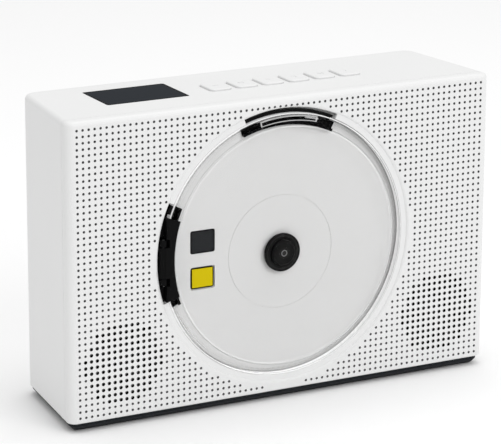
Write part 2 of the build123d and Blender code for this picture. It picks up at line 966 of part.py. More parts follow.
lid_radius = rim_radius - lid_slope_width
rim_slope = (rim_shoulder + lid_proud) / lid_slope_width
rim_inner_radius = rim_radius - rim_foot_width
lid_inner_radius = lid_radius - lid_wall * rim_slope
hinge_x = hinge_set_in - bay_radius
catch_middle = (catch_arc[0] + catch_arc[1]) / 2
ear_outer = knuckle_half_length + ear_gap + hinge_ear_length
notch_half = ear_outer + notch_room
tab_wall_angle = degrees(tab_wall / rim_radius)
keeper_arc = widened(catch_arc, -keeper_end_angle)
lid_outer_profile = [
    (0, -lid_proud),
    (lid_radius, -lid_proud),
    (rim_radius - rim_edge, rim_shoulder - rim_edge * rim_slope),
    (rim_radius, rim_shoulder + rim_edge / 2),
    (rim_radius, rim_foot),
]
lid_inner_profile = [
    (rim_inner_radius, rim_foot),
    (rim_inner_radius, rim_shoulder + lid_wall),
    (lid_inner_radius, lid_wall - lid_proud),
    (0, lid_wall - lid_proud),
]


def hinge_box(x_from, x_to, half_height, near, far):
    """A block across the hinge, centred on the bay's height, from X, height and depth."""
    with BuildPart() as box:
        with BuildSketch(front_plane(near)):
            with Locations(((x_from + x_to) / 2, bay_z)):
                Rectangle(x_to - x_from, 2 * half_height)
        extrude(amount=near - far)
    return box.part


def hinge_cylinder(radius, half_length):
    """A round bar along the hinge axis, centred on the bay's height."""
    with BuildPart() as bar:
        with BuildSketch(floor_plane(bay_z - half_length)):
            with Locations((hinge_x, front_y + hinge_depth)):
                Circle(radius)
        extrude(amount=2 * half_length)
    return bar.part


rim_notch = hinge_box(-2 * bay_radius, hinge_x + notch_reach, notch_half, -2 * lid_proud, 2 * rim_foot)

with BuildPart() as lid:
    add(turned(lid_outer_profile + lid_inner_profile, 0, bay_z))
    add(rim_notch, mode=Mode.SUBTRACT)
    add(ring_sector(lid_radius + tab_inset, rim_radius - rim_edge, tab_arc, -lid_proud, rim_shoulder))
    add(
        ring_sector(
            lid_radius + tab_inset + tab_wall,
            rim_radius - rim_edge - tab_wall,
            widened(tab_arc, -tab_wall_angle),
            -2 * lid_proud,
            tab_recess - lid_proud,
        ),
        mode=Mode.SUBTRACT,
    )
    add(
        ring_sector(
            rim_inner_radius + keeper_inset,
            rim_radius - keeper_inset,
            keeper_arc,
            rim_foot - keeper_thickness,
            2 * rim_foot,
        ),
        mode=Mode.SUBTRACT,
    )

with BuildPart() as lid_keeper:
    add(
        ring_sector(
            rim_inner_radius + keeper_inset + keeper_clearance,
            rim_radius - keeper_inset - keeper_clearance,
            widened(keeper_arc, -degrees(keeper_clearance / rim_radius)),
            rim_foot - keeper_thickness,
            rim_foot,
        )
    )

# ---- Hinge: leaf on the lid, bracket on the deck, pin through both ----

leaf_outer_radius = bay_radius - leaf_wall_gap
leaf_edge_x = hinge_x + leaf_from_pin

with BuildPart() as hinge_leaf:
    add(ring_sector(lid_radius + leaf_inset, leaf_outer_radius, hinge_arc, leaf_front, leaf_depth))
    add(
        hinge_box(-2 * bay_radius, leaf_edge_x, bay_radius, 2 * leaf_front, 2 * leaf_depth),
        mode=Mode.SUBTRACT,
    )
    fillet(hinge_leaf.faces().sort_by(Axis.Y)[0].edges(), leaf_edge)
    add(hinge_box(hinge_x, hinge_x + leaf_web, knuckle_half_length, leaf_front, leaf_depth))
    add(hinge_cylinder(knuckle_radius, knuckle_half_length))
    for side in (-1, 1):
        with BuildSketch(front_plane(2 * leaf_front)):
            with Locations((hinge_x, bay_z + side * (knuckle_half_length + ear_outer + ear_gap) / 2)):
                Rectangle(2 * ear_pocket_half, hinge_ear_length + 2 * ear_gap)
        extrude(amount=2 * (leaf_front - leaf_depth), mode=Mode.SUBTRACT)
    add(turned(lid_outer_profile + [(0, rim_foot)], 0, bay_z) - rim_notch, mode=Mode.SUBTRACT)
    add(hinge_cylinder(pin_radius + running_clearance, 2 * ear_outer), mode=Mode.SUBTRACT)

channel_floor_depth = deck_depth - channel_floor
channel_inner_radius = lid_radius - channel_inset
channel_wall_radius = rim_radius + channel_clearance
channel_outer_radius = channel_wall_radius + channel_outer_wall
channel_rim_radius = rim_inner_radius + rim_foot_width / 2
fence_outer_radius = bay_radius - fence_wall_gap
fence_depth = hinge_depth + pin_radius + fence_drop


def channel(arc, overrun):
    """A U shaped channel on the deck for the foot of the rim, with a narrower tail at each end."""
    tail_arc = widened(arc, overrun)
    with BuildPart() as piece:
        add(ring_sector(channel_inner_radius, channel_outer_radius, arc, channel_floor_depth, deck_depth))
        add(ring_sector(channel_inner_radius, channel_rim_radius, tail_arc, channel_floor_depth, deck_depth))
        add(
            ring_sector(
                channel_inner_radius,
                channel_inner_radius + channel_inner_wall,
                tail_arc,
                channel_inner_depth,
                deck_depth,
            )
        )
        add(ring_sector(channel_wall_radius, channel_outer_radius, arc, channel_outer_depth, deck_depth))
    return piece.part


with BuildPart() as hinge_bracket:
    add(channel(hinge_arc, hinge_overrun))
    # a fence behind the leaf, close to the wall of the bay and just under the path of the pin
    add(ring_sector(channel_wall_radius, fence_outer_radius, hinge_arc, fence_depth, deck_depth))
    add(
        hinge_box(leaf_edge_x - fence_gap, 0, bay_radius, 0, channel_outer_depth),
        mode=Mode.SUBTRACT,
    )
    add(
        hinge_box(-2 * bay_radius, hinge_x + notch_reach, notch_half, 0, channel_floor_depth),
        mode=Mode.SUBTRACT,
    )
    add(
        ring_sector(
            channel_wall_radius,
            channel_outer_radius,
            (hinge_arc[0] - hinge_overrun, hinge_arc[0] - stub_angle),
            stub_depth,
            deck_depth,
        )
    )
    add(
        ring_sector(
            channel_rim_radius,
            channel_outer_radius,
            (hinge_arc[0] - hinge_overrun, hinge_arc[0]),
            channel_floor_depth,
            deck_depth,
        )
    )
    for side in (-1, 1):
        with BuildSketch(floor_plane(bay_z + side * ear_outer)):
            with Locations((hinge_x, front_y + hinge_depth)):
                Circle(hinge_ear_radius)
            with Locations((hinge_x, front_y + (hinge_depth + deck_depth) / 2)):
                Rectangle(2 * hinge_ear_radius, deck_depth - hinge_depth)
        extrude(amount=-side * hinge_ear_length)
    add(hinge_cylinder(pin_radius, 2 * ear_outer), mode=Mode.SUBTRACT)

with BuildPart() as hinge_pin:
    add(hinge_cylinder(pin_radius, ear_outer))

# ---- Catch at the top: channel with two magnets let into its floor ----

magnet_half_angle = degrees(magnet_length / 2 / rim_radius)
magnet_arcs = [
    widened((catch_middle + side * magnet_spread, catch_middle + side * magnet_spread), magnet_half_angle)
    for side in (-1, 1)
]

with BuildPart() as catch_magnets:
    for arc in magnet_arcs:
        add(ring_sector(rim_inner_radius, rim_radius, arc, channel_floor_depth, deck_depth))

with BuildPart() as catch_block:
    add(channel(catch_arc, catch_overrun))
    add(catch_magnets.part, mode=Mode.SUBTRACT)

# ---- Spindle: hub and shaft that turn the disc, and the motor that carries them ----

hub_neck_end = collar_end + hub_neck_reach
motor_front = chassis_depth + chassis_thickness
motor_back = motor_front + motor_length
shaft_front = boss_depth - shaft_recess
shaft_end = motor_back - shaft_stop
platform_back = platform_depth + platform_thickness

with BuildPart() as spindle_hub:
    add(
        turned(
            [
                (shaft_radius, boss_depth),
                (boss_radius - boss_bevel, boss_depth),
                (boss_radius, boss_depth + boss_bevel_depth),
                (boss_radius, platform_depth),
                (platform_radius, platform_depth),
                (platform_radius, platform_back),
                (hub_neck_radius + hub_neck_flare, platform_back),
                (hub_neck_radius, platform_back + hub_neck_chamfer),
                (hub_neck_radius, hub_neck_end),
                (shaft_radius, hub_neck_end),
            ],
            0,
            spindle_z,
        )
    )
    with BuildSketch(front_plane(boss_depth + claw_drop)):
        with Locations((0, spindle_z)):
            with PolarLocations(boss_radius - claw_inset, claw_count, start_angle=90):
                RectangleRounded(claw_length, claw_width, claw_corner)
    extrude(amount=boss_depth + claw_drop - platform_depth)

with BuildPart() as spindle_shaft:
    with BuildSketch(front_plane(shaft_front)):
        with Locations((0, spindle_z)):
            Circle(shaft_radius)
    extrude(amount=shaft_front - shaft_end)

with BuildPart() as spindle_motor:
    add(
        turned(
            [
                (shaft_radius + running_clearance, chassis_depth),
                (motor_neck_radius, chassis_depth),
                (motor_neck_radius, motor_front),
                (motor_radius, motor_front),
                (motor_radius, motor_back - motor_bevel),
                (motor_radius - motor_bevel, motor_back),
                (0, motor_back),
                (0, shaft_end + shaft_end_gap),
                (shaft_radius + running_clearance, shaft_end + shaft_end_gap),
            ],
            0,
            spindle_z,
        )
    )

# ---- Mechanism: chassis on rubber dampers, rods, pickup sled and its gear train ----

tooth_pitch = pi * gear_module
small_pitch_radius = gear_module * small_teeth / 2
big_pitch_radius = gear_module * big_teeth / 2
addendum = addendum_share * gear_module
dedendum = dedendum_share * gear_module
rack_pitch_z = spindle_z - sled_half_height - rack_offset
gear_z = rack_pitch_z - small_pitch_radius
pinion_z = gear_z - small_pitch_radius - big_pitch_radius
big_gear_near = rod_depth + sled_thickness / 2 + big_gear_gap
big_gear_far = big_gear_near + big_gear_thickness
pickup_head_depth = deck_depth + window_thickness + head_gap
sled_near = rod_depth - sled_thickness / 2
damper_front = motor_front + damper_end
feed_motor_back = motor_front + feed_motor_length


def gear_outline(teeth, turn):
    """Corner points of an involute gear, with one tooth at the given angle."""
    pitch_radius = gear_module * teeth / 2
    base_radius = pitch_radius * cos(radians(pressure_angle))
    root_radius = pitch_radius - dedendum
    tip_radius = pitch_radius + addendum
    half_tooth = (tooth_pitch - 2 * backlash) / 4 / pitch_radius
    involute_at_pitch = tan(radians(pressure_angle)) - radians(pressure_angle)

    def flank_angle(radius):
        if radius <= base_radius:
            return half_tooth + involute_at_pitch
        roll = sqrt((radius / base_radius) ** 2 - 1)
        return half_tooth + involute_at_pitch - (roll - atan(roll))

    flank_steps = 4
    flank_step = (tip_radius - base_radius) / flank_steps
    radii = [root_radius] + [base_radius + flank_step * n for n in range(flank_steps + 1)]
    points = []
    for tooth in range(teeth):
        middle = radians(turn) + 2 * pi * tooth / teeth
        rising = [(radius, middle - flank_angle(radius)) for radius in radii]
        falling = [(radius, middle + flank_angle(radius)) for radius in reversed(radii)]
        points += [(radius * cos(angle), radius * sin(angle)) for radius, angle in rising + falling]
    return points


def gear_wheel(teeth, turn, x, z, near, far):
    """A spur gear between two depths."""
    with BuildPart() as wheel:
        with BuildSketch(front_plane(near)):
            with BuildLine():
                Polyline(*[(x + px, z + pz) for px, pz in gear_outline(teeth, turn)], close=True)
            make_face()
        extrude(amount=near - far)
    return wheel.part


rod_places = [(front_y + rod_depth, spindle_z + side * rod_offset) for side in (-1, 1)]
rod_block_places = [
    (x, spindle_z + side * rod_offset)
    for x in (rod_start + block_length / 2, rod_end - block_length / 2)
    for side in (-1, 1)
]

with BuildPart() as mech_chassis:
    with BuildSketch(front_plane(chassis_depth)):
        with Locations(
            ((chassis_left + chassis_right) / 2, spindle_z + (chassis_top + chassis_bottom) / 2)
        ):
            RectangleRounded(chassis_right - chassis_left, chassis_top - chassis_bottom, chassis_corner)
        with Locations((0, spindle_z)):
            Circle(motor_neck_radius + fit_gap, mode=Mode.SUBTRACT)
        with Locations((pickup_window_x, spindle_z)):
            Rectangle(
                pickup_window_width + 2 * chassis_slot_room,
                pickup_window_height + 2 * chassis_slot_room,
                mode=Mode.SUBTRACT,
            )
        with Locations(*damper_places):
            Circle(damper_radius - damper_groove, mode=Mode.SUBTRACT)
        with Locations((gear_x, pinion_z)):
            Circle(feed_motor_neck_radius + feed_motor_neck_clearance, mode=Mode.SUBTRACT)
        with Locations((gear_x, gear_z)):
            Circle(axle_radius, mode=Mode.SUBTRACT)
    extrude(amount=-chassis_thickness)
    with BuildSketch(front_plane(motor_front)):
        with Locations(*rod_block_places):
            Rectangle(block_length, 2 * (rod_radius + rod_wall))
    extrude(amount=motor_front - rod_depth - rod_radius - rod_cover)
    with BuildSketch(Plane.YZ.offset(chassis_left)):
        with Locations(*rod_places):
            Circle(rod_radius)
    extrude(amount=chassis_right - chassis_left, mode=Mode.SUBTRACT)

with BuildPart() as guide_rods:
    with BuildSketch(Plane.YZ.offset(rod_start)):
        with Locations(*rod_places):
            Circle(rod_radius)
    extrude(amount=rod_end - rod_start)

with BuildPart() as mech_dampers:
    for x, z in damper_places:
        add(
            turned(
                [
                    (screw_hole_radius, damper_post_depth),
                    (damper_radius, damper_post_depth),
                    (damper_radius, chassis_depth),
                    (damper_radius - damper_groove, chassis_depth),
                    (damper_radius - damper_groove, motor_front),
                    (damper_radius, motor_front),
                    (damper_radius, damper_front),
                    (screw_hole_radius, damper_front),
                ],
                x,
                z,
            )
        )

with BuildPart() as mech_screws:
    for x, z in damper_places:
        add(screw(damper_front, deck_depth + damper_pilot_floor + screw_tip_gap, x, z))

with BuildPart() as pickup_sled:
    with BuildSketch(front_plane(sled_near)):
        with Locations(((sled_left + sled_right) / 2, spindle_z)):
            RectangleRounded(sled_right - sled_left, 2 * sled_half_height, sled_corner)
    extrude(amount=-sled_thickness)
    with BuildSketch(front_plane(pickup_head_depth)):
        with Locations((lens_start, spindle_z)):
            RectangleRounded(head_width, pickup_slot_height - 2 * head_clearance, head_corner)
    extrude(amount=pickup_head_depth - sled_near)
    rack_left = gear_x - sled_travel - rack_end_room
    rack_right = gear_x + rack_end_room
    rack_top = spindle_z - sled_half_height + rack_root
    rack_root_z = rack_pitch_z + dedendum
    rack_tip_z = rack_pitch_z - addendum
    with BuildSketch(front_plane(rack_near)):
        with Locations(((rack_left + rack_right) / 2, (rack_top + rack_root_z) / 2)):
            Rectangle(rack_right - rack_left, rack_top - rack_root_z)
    extrude(amount=-rack_thickness)
    half_at_pitch = tooth_pitch / 4 - backlash / 2
    half_at_root = half_at_pitch + dedendum * tan(radians(pressure_angle))
    half_at_tip = half_at_pitch - addendum * tan(radians(pressure_angle))
    with BuildSketch(front_plane(rack_near)):
        for n in range(int((rack_right - rack_left) / tooth_pitch)):
            middle = gear_x + tooth_pitch / 2 - n * tooth_pitch
            with BuildLine():
                Polyline(
                    (middle - half_at_root, rack_root_z),
                    (middle - half_at_tip, rack_tip_z),
                    (middle + half_at_tip, rack_tip_z),
                    (middle + half_at_root, rack_root_z),
                    close=True,
                )
            make_face()
    extrude(amount=-rack_thickness)
    with BuildSketch(Plane.YZ.offset(sled_left - overcut)):
        with Locations(*rod_places):
            Circle(rod_radius + running_clearance)
    extrude(amount=sled_right - sled_left + 2 * overcut, mode=Mode.SUBTRACT)

with BuildPart() as pickup_lens:
    add(
        turned(
            [
                (0, pickup_head_depth - lens_height),
                (lens_radius / 2, pickup_head_depth - lens_height),
                (lens_radius, pickup_head_depth - lens_edge),
                (lens_radius, pickup_head_depth),
                (0, pickup_head_depth),
            ],
            lens_start,
            spindle_z,
        )
    )

with BuildPart() as feed_gear:
    add(gear_wheel(small_teeth, 90, gear_x, gear_z, rack_near - gear_end_gap, big_gear_near))
    add(gear_wheel(big_teeth, 90 + 180 / big_teeth, gear_x, gear_z, big_gear_near, big_gear_far))
    with BuildSketch(front_plane(0)):
        with Locations((gear_x, gear_z)):
            Circle(axle_radius + running_clearance)
    extrude(amount=-2 * big_gear_far, mode=Mode.SUBTRACT)

with BuildPart() as feed_axle:
    add(
        turned(
            [
                (0, chassis_depth + axle_set_in),
                (axle_radius, chassis_depth + axle_set_in),
                (axle_radius, motor_front),
                (axle_collar_radius, motor_front),
                (axle_collar_radius, rack_near - axle_collar_gap),
                (axle_radius, rack_near - axle_collar_gap),
                (axle_radius, big_gear_far + axle_cap_gap),
                (axle_cap_radius, big_gear_far + axle_cap_gap),
                (axle_cap_radius, big_gear_far + axle_cap_gap + axle_cap_thickness),
                (0, big_gear_far + axle_cap_gap + axle_cap_thickness),
            ],
            gear_x,
            gear_z,
        )
    )

with BuildPart() as feed_motor:
    add(
        turned(
            [
                (axle_radius + running_clearance, motor_front + feed_motor_floor),
                (axle_radius + running_clearance, feed_motor_back),
                (feed_motor_neck_radius, feed_motor_back),
                (feed_motor_neck_radius, feed_motor_back - feed_motor_step),
                (feed_motor_radius, feed_motor_back - feed_motor_step),
                (feed_motor_radius, motor_front),
                (feed_motor_neck_radius, motor_front),
                (feed_motor_neck_radius, chassis_depth),
                (0, chassis_depth),
                (0, motor_front + feed_motor_floor),
            ],
            gear_x,
            pinion_z,
        )
    )

with BuildPart() as feed_pinion:
    add(
        gear_wheel(
            small_teeth,
            90,
            gear_x,
            pinion_z,
            big_gear_near - pinion_overhang,
            big_gear_far + 2 * pinion_overhang,
        )
    )
    with BuildSketch(front_plane(motor_front + feed_motor_floor + shaft_end_gap)):
        with Locations((gear_x, pinion_z)):
            Circle(axle_radius)
    extrude(amount=motor_front + feed_motor_floor + shaft_end_gap - big_gear_near)

# ---- Loudspeaker drivers: basket, magnet, cone and surround on each side ----

frame_inner = driver_opening - basket_inset
flange_back = seat_depth + flange_thickness
basket_back = seat_depth + basket_length
cone_back = seat_depth + cone_length
magnet_back = seat_depth + driver_length
cone_radius = frame_inner - roll_width
cone_rim = seat_depth + cone_rim_drop
coil_outer = coil_inner + coil_wall
driver_parts = []
for side, side_name in ((-1, "left"), (1, "right")):
    driver_middle = side * driver_x
    with BuildPart() as basket:
        add(
            turned(
                [
                    (frame_inner, seat_depth),
                    (flange_radius, seat_depth),
                    (flange_radius, flange_back),
                    (driver_opening, flange_back),
                    (magnet_radius, basket_back - basket_wall),
                    (magnet_radius, basket_back),
                    (basket_bore, basket_back),
                    (basket_bore, basket_back - basket_wall),
                    (magnet_radius - basket_wall, basket_back - basket_wall),
                    (frame_inner - basket_wall, flange_back),
                    (frame_inner, flange_back - basket_step),
                ],
                driver_middle,
                driver_z,
            )
        )
        with BuildSketch(front_plane(seat_depth)):
            with Locations(*driver_screw_places(side)):
                Circle(screw_boss_radius)
            with Locations((driver_middle, driver_z)):
                Rectangle(2 * driver_screw_offset, 2 * driver_screw_offset)
                Circle(frame_inner, mode=Mode.SUBTRACT)
        extrude(amount=-flange_thickness)
        with BuildSketch(front_plane(seat_depth)):
            with Locations(*driver_screw_places(side)):
                Circle(thread_hole_radius)
        extrude(amount=-flange_thickness, mode=Mode.SUBTRACT)
    basket.part.label = f"driver_basket_{side_name}"
    driver_parts.append(basket.part)

    with BuildPart() as magnet:
        add(
            turned(
                [
                    (coil_gap_outer, basket_back),
                    (magnet_radius, basket_back),
                    (magnet_radius, magnet_back - magnet_bevel_length),
                    (magnet_radius - magnet_bevel, magnet_back),
                    (0, magnet_back),
                    (0, basket_back - pole_rise),
                    (coil_gap_inner, basket_back - pole_rise),
                    (coil_gap_inner, magnet_back - yoke_thickness),
                    (coil_gap_outer, magnet_back - yoke_thickness),
                ],
                driver_middle,
                driver_z,
            )
        )
    magnet.part.label = f"driver_magnet_{side_name}"
    driver_parts.append(magnet.part)

    with BuildPart() as cone:
        add(
            turned(
                [
                    (0, cone_back - cap_height),
                    (cap_radius, cone_back - cap_shoulder),
                    (coil_inner - cap_inset, cone_back - cap_foot),
                    (cone_radius, cone_rim),
                    (cone_radius, cone_rim + cone_thickness),
                    (coil_outer, cone_back - cap_inset),
                    (coil_outer, basket_back + coil_reach),
                    (coil_inner, basket_back + coil_reach),
                    (coil_inner, cone_back - cone_thickness),
                    (cap_radius - cap_inset, cone_back - cap_shoulder + cone_thickness),
                    (0, cone_back - cap_height + cone_thickness),
                ],
                driver_middle,
                driver_z,
            )
        )
    cone.part.label = f"driver_cone_{side_name}"
    driver_parts.append(cone.part)

    with BuildPart() as surround:
        with BuildSketch(floor_plane(driver_z)):
            with BuildLine():
                inner_x = driver_middle + cone_radius
                middle_x = driver_middle + (cone_radius + frame_inner) / 2
                outer_x = driver_middle + frame_inner
                inner_y = front_y + cone_rim
                middle_y = inner_y - roll_rise
                outer_y = front_y + seat_depth + roll_seat
                ThreePointArc((inner_x, inner_y), (middle_x, middle_y), (outer_x, outer_y))
                Line((outer_x, outer_y), (outer_x, outer_y + cone_thickness))
                ThreePointArc(
                    (outer_x, outer_y + cone_thickness),
                    (middle_x, middle_y + cone_thickness),
                    (inner_x, inner_y + cone_thickness),
                )
                Line((inner_x, inner_y + cone_thickness), (inner_x, inner_y))
            make_face()
        revolve(axis=Axis((driver_middle, 0, driver_z), (0, 1, 0)))
    surround.part.label = f"driver_surround_{side_name}"
    driver_parts.append(surround.part)

with BuildPart() as driver_screws:
    for side in (-1, 1):
        for x, z in driver_screw_places(side):
            add(screw(flange_back, wall - driver_screw_reach, x, z))

# ---- Display: dark window in the top, and the module under it ----

display_module_top = inner_top - display_boss_length

with BuildPart() as display_window:
    with BuildSketch(floor_plane(body_top)):
        with Locations((display_x, display_y)):
            RectangleRounded(display_width - 2 * fit_gap, display_length - 2 * fit_gap, display_corner)
    extrude(amount=-display_lens)

with BuildPart() as display_module:
    with BuildSketch(floor_plane(display_module_top)):
        with Locations((display_x, display_y)):
            Rectangle(display_width + 2 * module_side_room, display_length - 2 * module_end_inset)
        with Locations(*display_tab_places):
            RectangleRounded(display_tab_size, display_tab_size, board_corner)
            Circle(thread_hole_radius, mode=Mode.SUBTRACT)
    extrude(amount=-board_thickness)
    with BuildSketch(floor_plane(display_module_top)):
        with Locations((display_x, display_y)):
            Rectangle(
                display_width - 2 * (display_ledge + display_glass_clearance),
                display_length - 2 * (display_ledge + display_glass_clearance),
            )
    extrude(amount=display_boss_length + wall - display_lens - display_glass_gap)

# ---- Keys: six caps that slide in the top wall, over one switch board ----

key_flange_top = inner_top - key_play
key_flange_bottom = key_flange_top - key_flange
key_stem_end = key_board_top + switch_height + key_travel + key_play
key_marks = (
    (("dash", 0.0),),
    (("post", -mark_post_shift), ("left arrow", 0.0)),
    (("right arrow", 0.0),),
    (("square", 0.0),),
    (("right arrow", 0.0), ("post", mark_post_shift)),
    (("dot", 0.0),),
)


def mark_outline(shape):
    """One of the plain shapes that are cut into the keys, in the sketch that is open."""
    if shape == "dash":
        Rectangle(mark_width, mark_line)
    elif shape == "post":
        Rectangle(mark_line, mark_height)
    elif shape == "square":
        Rectangle(mark_height, mark_height)
    elif shape == "dot":
        Circle(mark_dot_radius)
    else:
        RegularPolygon(mark_arrow_radius, 3, rotation=180 if shape == "left arrow" else 0)


key_parts = []
for n, x in enumerate(key_xs):
    with BuildPart() as key:
        with BuildSketch(floor_plane(key_flange_top)):
            with Locations((x, key_y)):
                RectangleRounded(key_width, key_length, key_corner)
        extrude(amount=body_top + key_proud - key_flange_top)
        fillet(key.faces().sort_by(Axis.Z)[-1].edges(), key_edge)
        with BuildSketch(floor_plane(body_top + key_proud)):
            for shape, shift in key_marks[n % len(key_marks)]:
                with Locations((x + shift, key_y)):
                    mark_outline(shape)
        extrude(amount=-mark_depth, mode=Mode.SUBTRACT)
        with BuildSketch(floor_plane(key_flange_top)):
            with Locations((x, key_y)):
                RectangleRounded(
                    key_width + 2 * key_flange_reach, key_length + 2 * key_flange_reach, key_corner
                )
        extrude(amount=-key_flange)
        with BuildSketch(floor_plane(key_flange_bottom)):
            with Locations((x, key_y)):
                Circle(key_stem_radius)
        extrude(amount=key_stem_end - key_flange_bottom)
    key.part.label = f"key_{n + 1}"
    key_parts.append(key.part)

with BuildPart() as key_board:
    with BuildSketch(floor_plane(key_board_top)):
        with Locations((key_board_x, key_y)):
            RectangleRounded(key_board_width, key_board_length, board_corner)
        with Locations(*key_boss_places):
            Circle(thread_hole_radius, mode=Mode.SUBTRACT)
    extrude(amount=-board_thickness)

with BuildPart() as key_switches:
    with BuildSketch(floor_plane(key_board_top)):
        with Locations(*key_places):
            Rectangle(switch_size, switch_size)
    extrude(amount=switch_height - plunger_height)
    with BuildSketch(floor_plane(key_board_top + switch_height - plunger_height)):
        with Locations(*key_places):
            Circle(plunger_radius)
    extrude(amount=plunger_height)

# ---- Main board on the back panel, with its sockets and the power switch ----

board_front = board_back - board_thickness
heatsink_x = heatsink_place[0]
heatsink_z = board_z + heatsink_place[1]
fin_pitch = (heatsink_width - 2 * fin_inset - fin_thickness) / (fin_count - 1)
socket_end = body_depth - socket_flush

with BuildPart() as main_board:
    with BuildSketch(front_plane(board_front)):
        with Locations((0, board_z)):
            RectangleRounded(board_width, board_height, board_corner)
        with Locations(*board_boss_places):
            Circle(thread_hole_radius, mode=Mode.SUBTRACT)
    extrude(amount=-board_thickness)

with BuildPart() as amplifier_heatsink:
    with BuildSketch(front_plane(board_front)):
        with Locations((heatsink_x, heatsink_z)):
            Rectangle(heatsink_width, heatsink_height)
    extrude(amount=heatsink_base)
    with BuildSketch(front_plane(board_front - heatsink_base)):
        with Locations((heatsink_x, heatsink_z)):
            with GridLocations(fin_pitch, 0, fin_count, 1):
                Rectangle(fin_thickness, heatsink_height)
    extrude(amount=fin_height)

with BuildPart() as capacitors:
    with BuildSketch(front_plane(board_front)):
        with Locations(*[(x, board_z + z) for x in capacitor_xs for z in capacitor_zs]):
            Circle(capacitor_radius)
    extrude(amount=capacitor_length)


def socket_block(x, size):
    """The body of a socket or switch, flat on the inside of the back panel."""
    width, height, length = size
    with BuildPart() as block:
        with BuildSketch(front_plane(back_inner)):
            with Locations((x, socket_z)):
                Rectangle(width, height)
        extrude(amount=length)
    return block.part


with BuildPart() as power_inlet:
    add(socket_block(inlet_x, inlet_body))
    with BuildSketch(front_plane(back_inner)):
        with Locations((inlet_x, socket_z)):
            SlotOverall(inlet_width, inlet_height)
    extrude(amount=back_inner - socket_end)
    with BuildSketch(front_plane(socket_end)):
        with Locations((inlet_x, socket_z)):
            SlotOverall(inlet_width - 2 * inlet_wall, inlet_height - 2 * inlet_wall)
            Rectangle(inlet_tongue_width, inlet_tongue_height, mode=Mode.SUBTRACT)
    extrude(amount=inlet_cavity, mode=Mode.SUBTRACT)

with BuildPart() as audio_socket:
    add(socket_block(audio_x, audio_body))
    with BuildSketch(front_plane(back_inner)):
        with Locations((audio_x, socket_z)):
            Circle(audio_barrel_radius)
    extrude(amount=back_inner - socket_end)
    with BuildSketch(front_plane(socket_end)):
        with Locations((audio_x, socket_z)):
            Circle(audio_bore_radius)
    extrude(amount=audio_bore_length, mode=Mode.SUBTRACT)

with BuildPart() as power_switch:
    add(socket_block(power_x, switch_body))
    with BuildSketch(front_plane(back_inner)):
        with Locations((power_x, socket_z)):
            Rectangle(
                knob_width + knob_shoe + power_travel + 2 * knob_gap, knob_height + knob_shoe + 2 * knob_gap
            )
    extrude(amount=switch_pocket, mode=Mode.SUBTRACT)

with BuildPart() as power_knob:
    knob_x = power_x - power_travel / 2
    shoe_depth = back_inner - switch_pocket + knob_gap
    with BuildSketch(front_plane(shoe_depth)):
        with Locations((knob_x, socket_z)):
            Rectangle(knob_width + knob_shoe, knob_height + knob_shoe)
    extrude(amount=-knob_shoe_thickness)
    with BuildSketch(front_plane(shoe_depth)):
        with Locations((knob_x, socket_z)):
            RectangleRounded(knob_width, knob_height, knob_corner)
    extrude(amount=shoe_depth - socket_end)

# ---- Screws of the cabinet, the deck, the boards and the base ----


def upward_screw(head_height, tip_height, x, y):
    """A pan head screw that points up from its head."""
    with BuildPart() as piece:
        with BuildSketch(floor_plane(head_height)):
            with Locations((x, y)):
                Circle(screw_radius)
        extrude(amount=tip_height - head_height)
        with BuildSketch(floor_plane(head_height)):
            with Locations((x, y)):
                Circle(screw_head_radius)
        extrude(amount=-screw_head_height)
    return piece.part


with BuildPart() as top_screws:
    for x, y in key_boss_places:
        add(upward_screw(key_board_top - board_thickness, key_board_top + top_screw_reach, x, y))
    for x, y in display_tab_places:
        add(upward_screw(display_module_top - board_thickness, inner_top + tab_screw_reach, x, y))

base_boss_top = inner_bottom + base_boss_height

with BuildPart() as base_screws:
    for x, y in base_screw_places:
        add(upward_screw(body_bottom - wall, base_boss_top - pilot_floor - 2 * screw_tip_gap, x, y))

with BuildPart() as board_screws:
    for x, z in board_boss_places:
        with BuildSketch(front_plane(board_front)):
            with Locations((x, z)):
                Circle(screw_radius)
        extrude(amount=-(board_thickness + board_screw_reach))
        with BuildSketch(front_plane(board_front)):
            with Locations((x, z)):
                Circle(screw_head_radius)
        extrude(amount=screw_head_height)

with BuildPart() as deck_screws:
    for x, z in ear_screw_places:
        add(screw(collar_end + ear_thickness, wall + pilot_floor + screw_tip_gap, x, z))

with BuildPart() as case_screws:
    for x, z in case_posts:
        add(screw(case_post_depth + wall, 2 * wall + screw_tip_gap, x, z))

# ---- Labels and files ----

pieces = driver_parts + key_parts
named = {
    "front_panel": front_panel,
    "housing": housing,
    "back_panel": back_panel,
    "base_plate": base_plate,
    "rubber_feet": rubber_feet,
    "base_screws": base_screws,
    "case_screws": case_screws,
    "disc_deck": disc_deck,
    "deck_screws": deck_screws,
    "pickup_window": pickup_window,
    "charcoal_window": charcoal_window,
    "yellow_pad": yellow_pad,
    "lid": lid,
    "lid_keeper": lid_keeper,
    "hinge_leaf": hinge_leaf,
    "hinge_bracket": hinge_bracket,
    "hinge_pin": hinge_pin,
    "catch_block": catch_block,
    "catch_magnets": catch_magnets,
    "spindle_hub": spindle_hub,
    "spindle_shaft": spindle_shaft,
    "spindle_motor": spindle_motor,
    "mech_chassis": mech_chassis,
    "mech_dampers": mech_dampers,
    "mech_screws": mech_screws,
    "guide_rods": guide_rods,
    "pickup_sled": pickup_sled,
    "pickup_lens": pickup_lens,
    "feed_gear": feed_gear,
    "feed_axle": feed_axle,
    "feed_motor": feed_motor,
    "feed_pinion": feed_pinion,
    "driver_screws": driver_screws,
    "display_window": display_window,
    "display_module": display_module,
    "key_board": key_board,
    "key_switches": key_switches,
    "top_screws": top_screws,
    "main_board": main_board,
    "amplifier_heatsink": amplifier_heatsink,
    "capacitors": capacitors,
    "board_screws": board_screws,
    "power_inlet": power_inlet,
    "audio_socket": audio_socket,
    "power_switch": power_switch,
    "power_knob": power_knob,
}
for name, builder in named.items():
    builder.part.label = name
    pieces.append(builder.part)

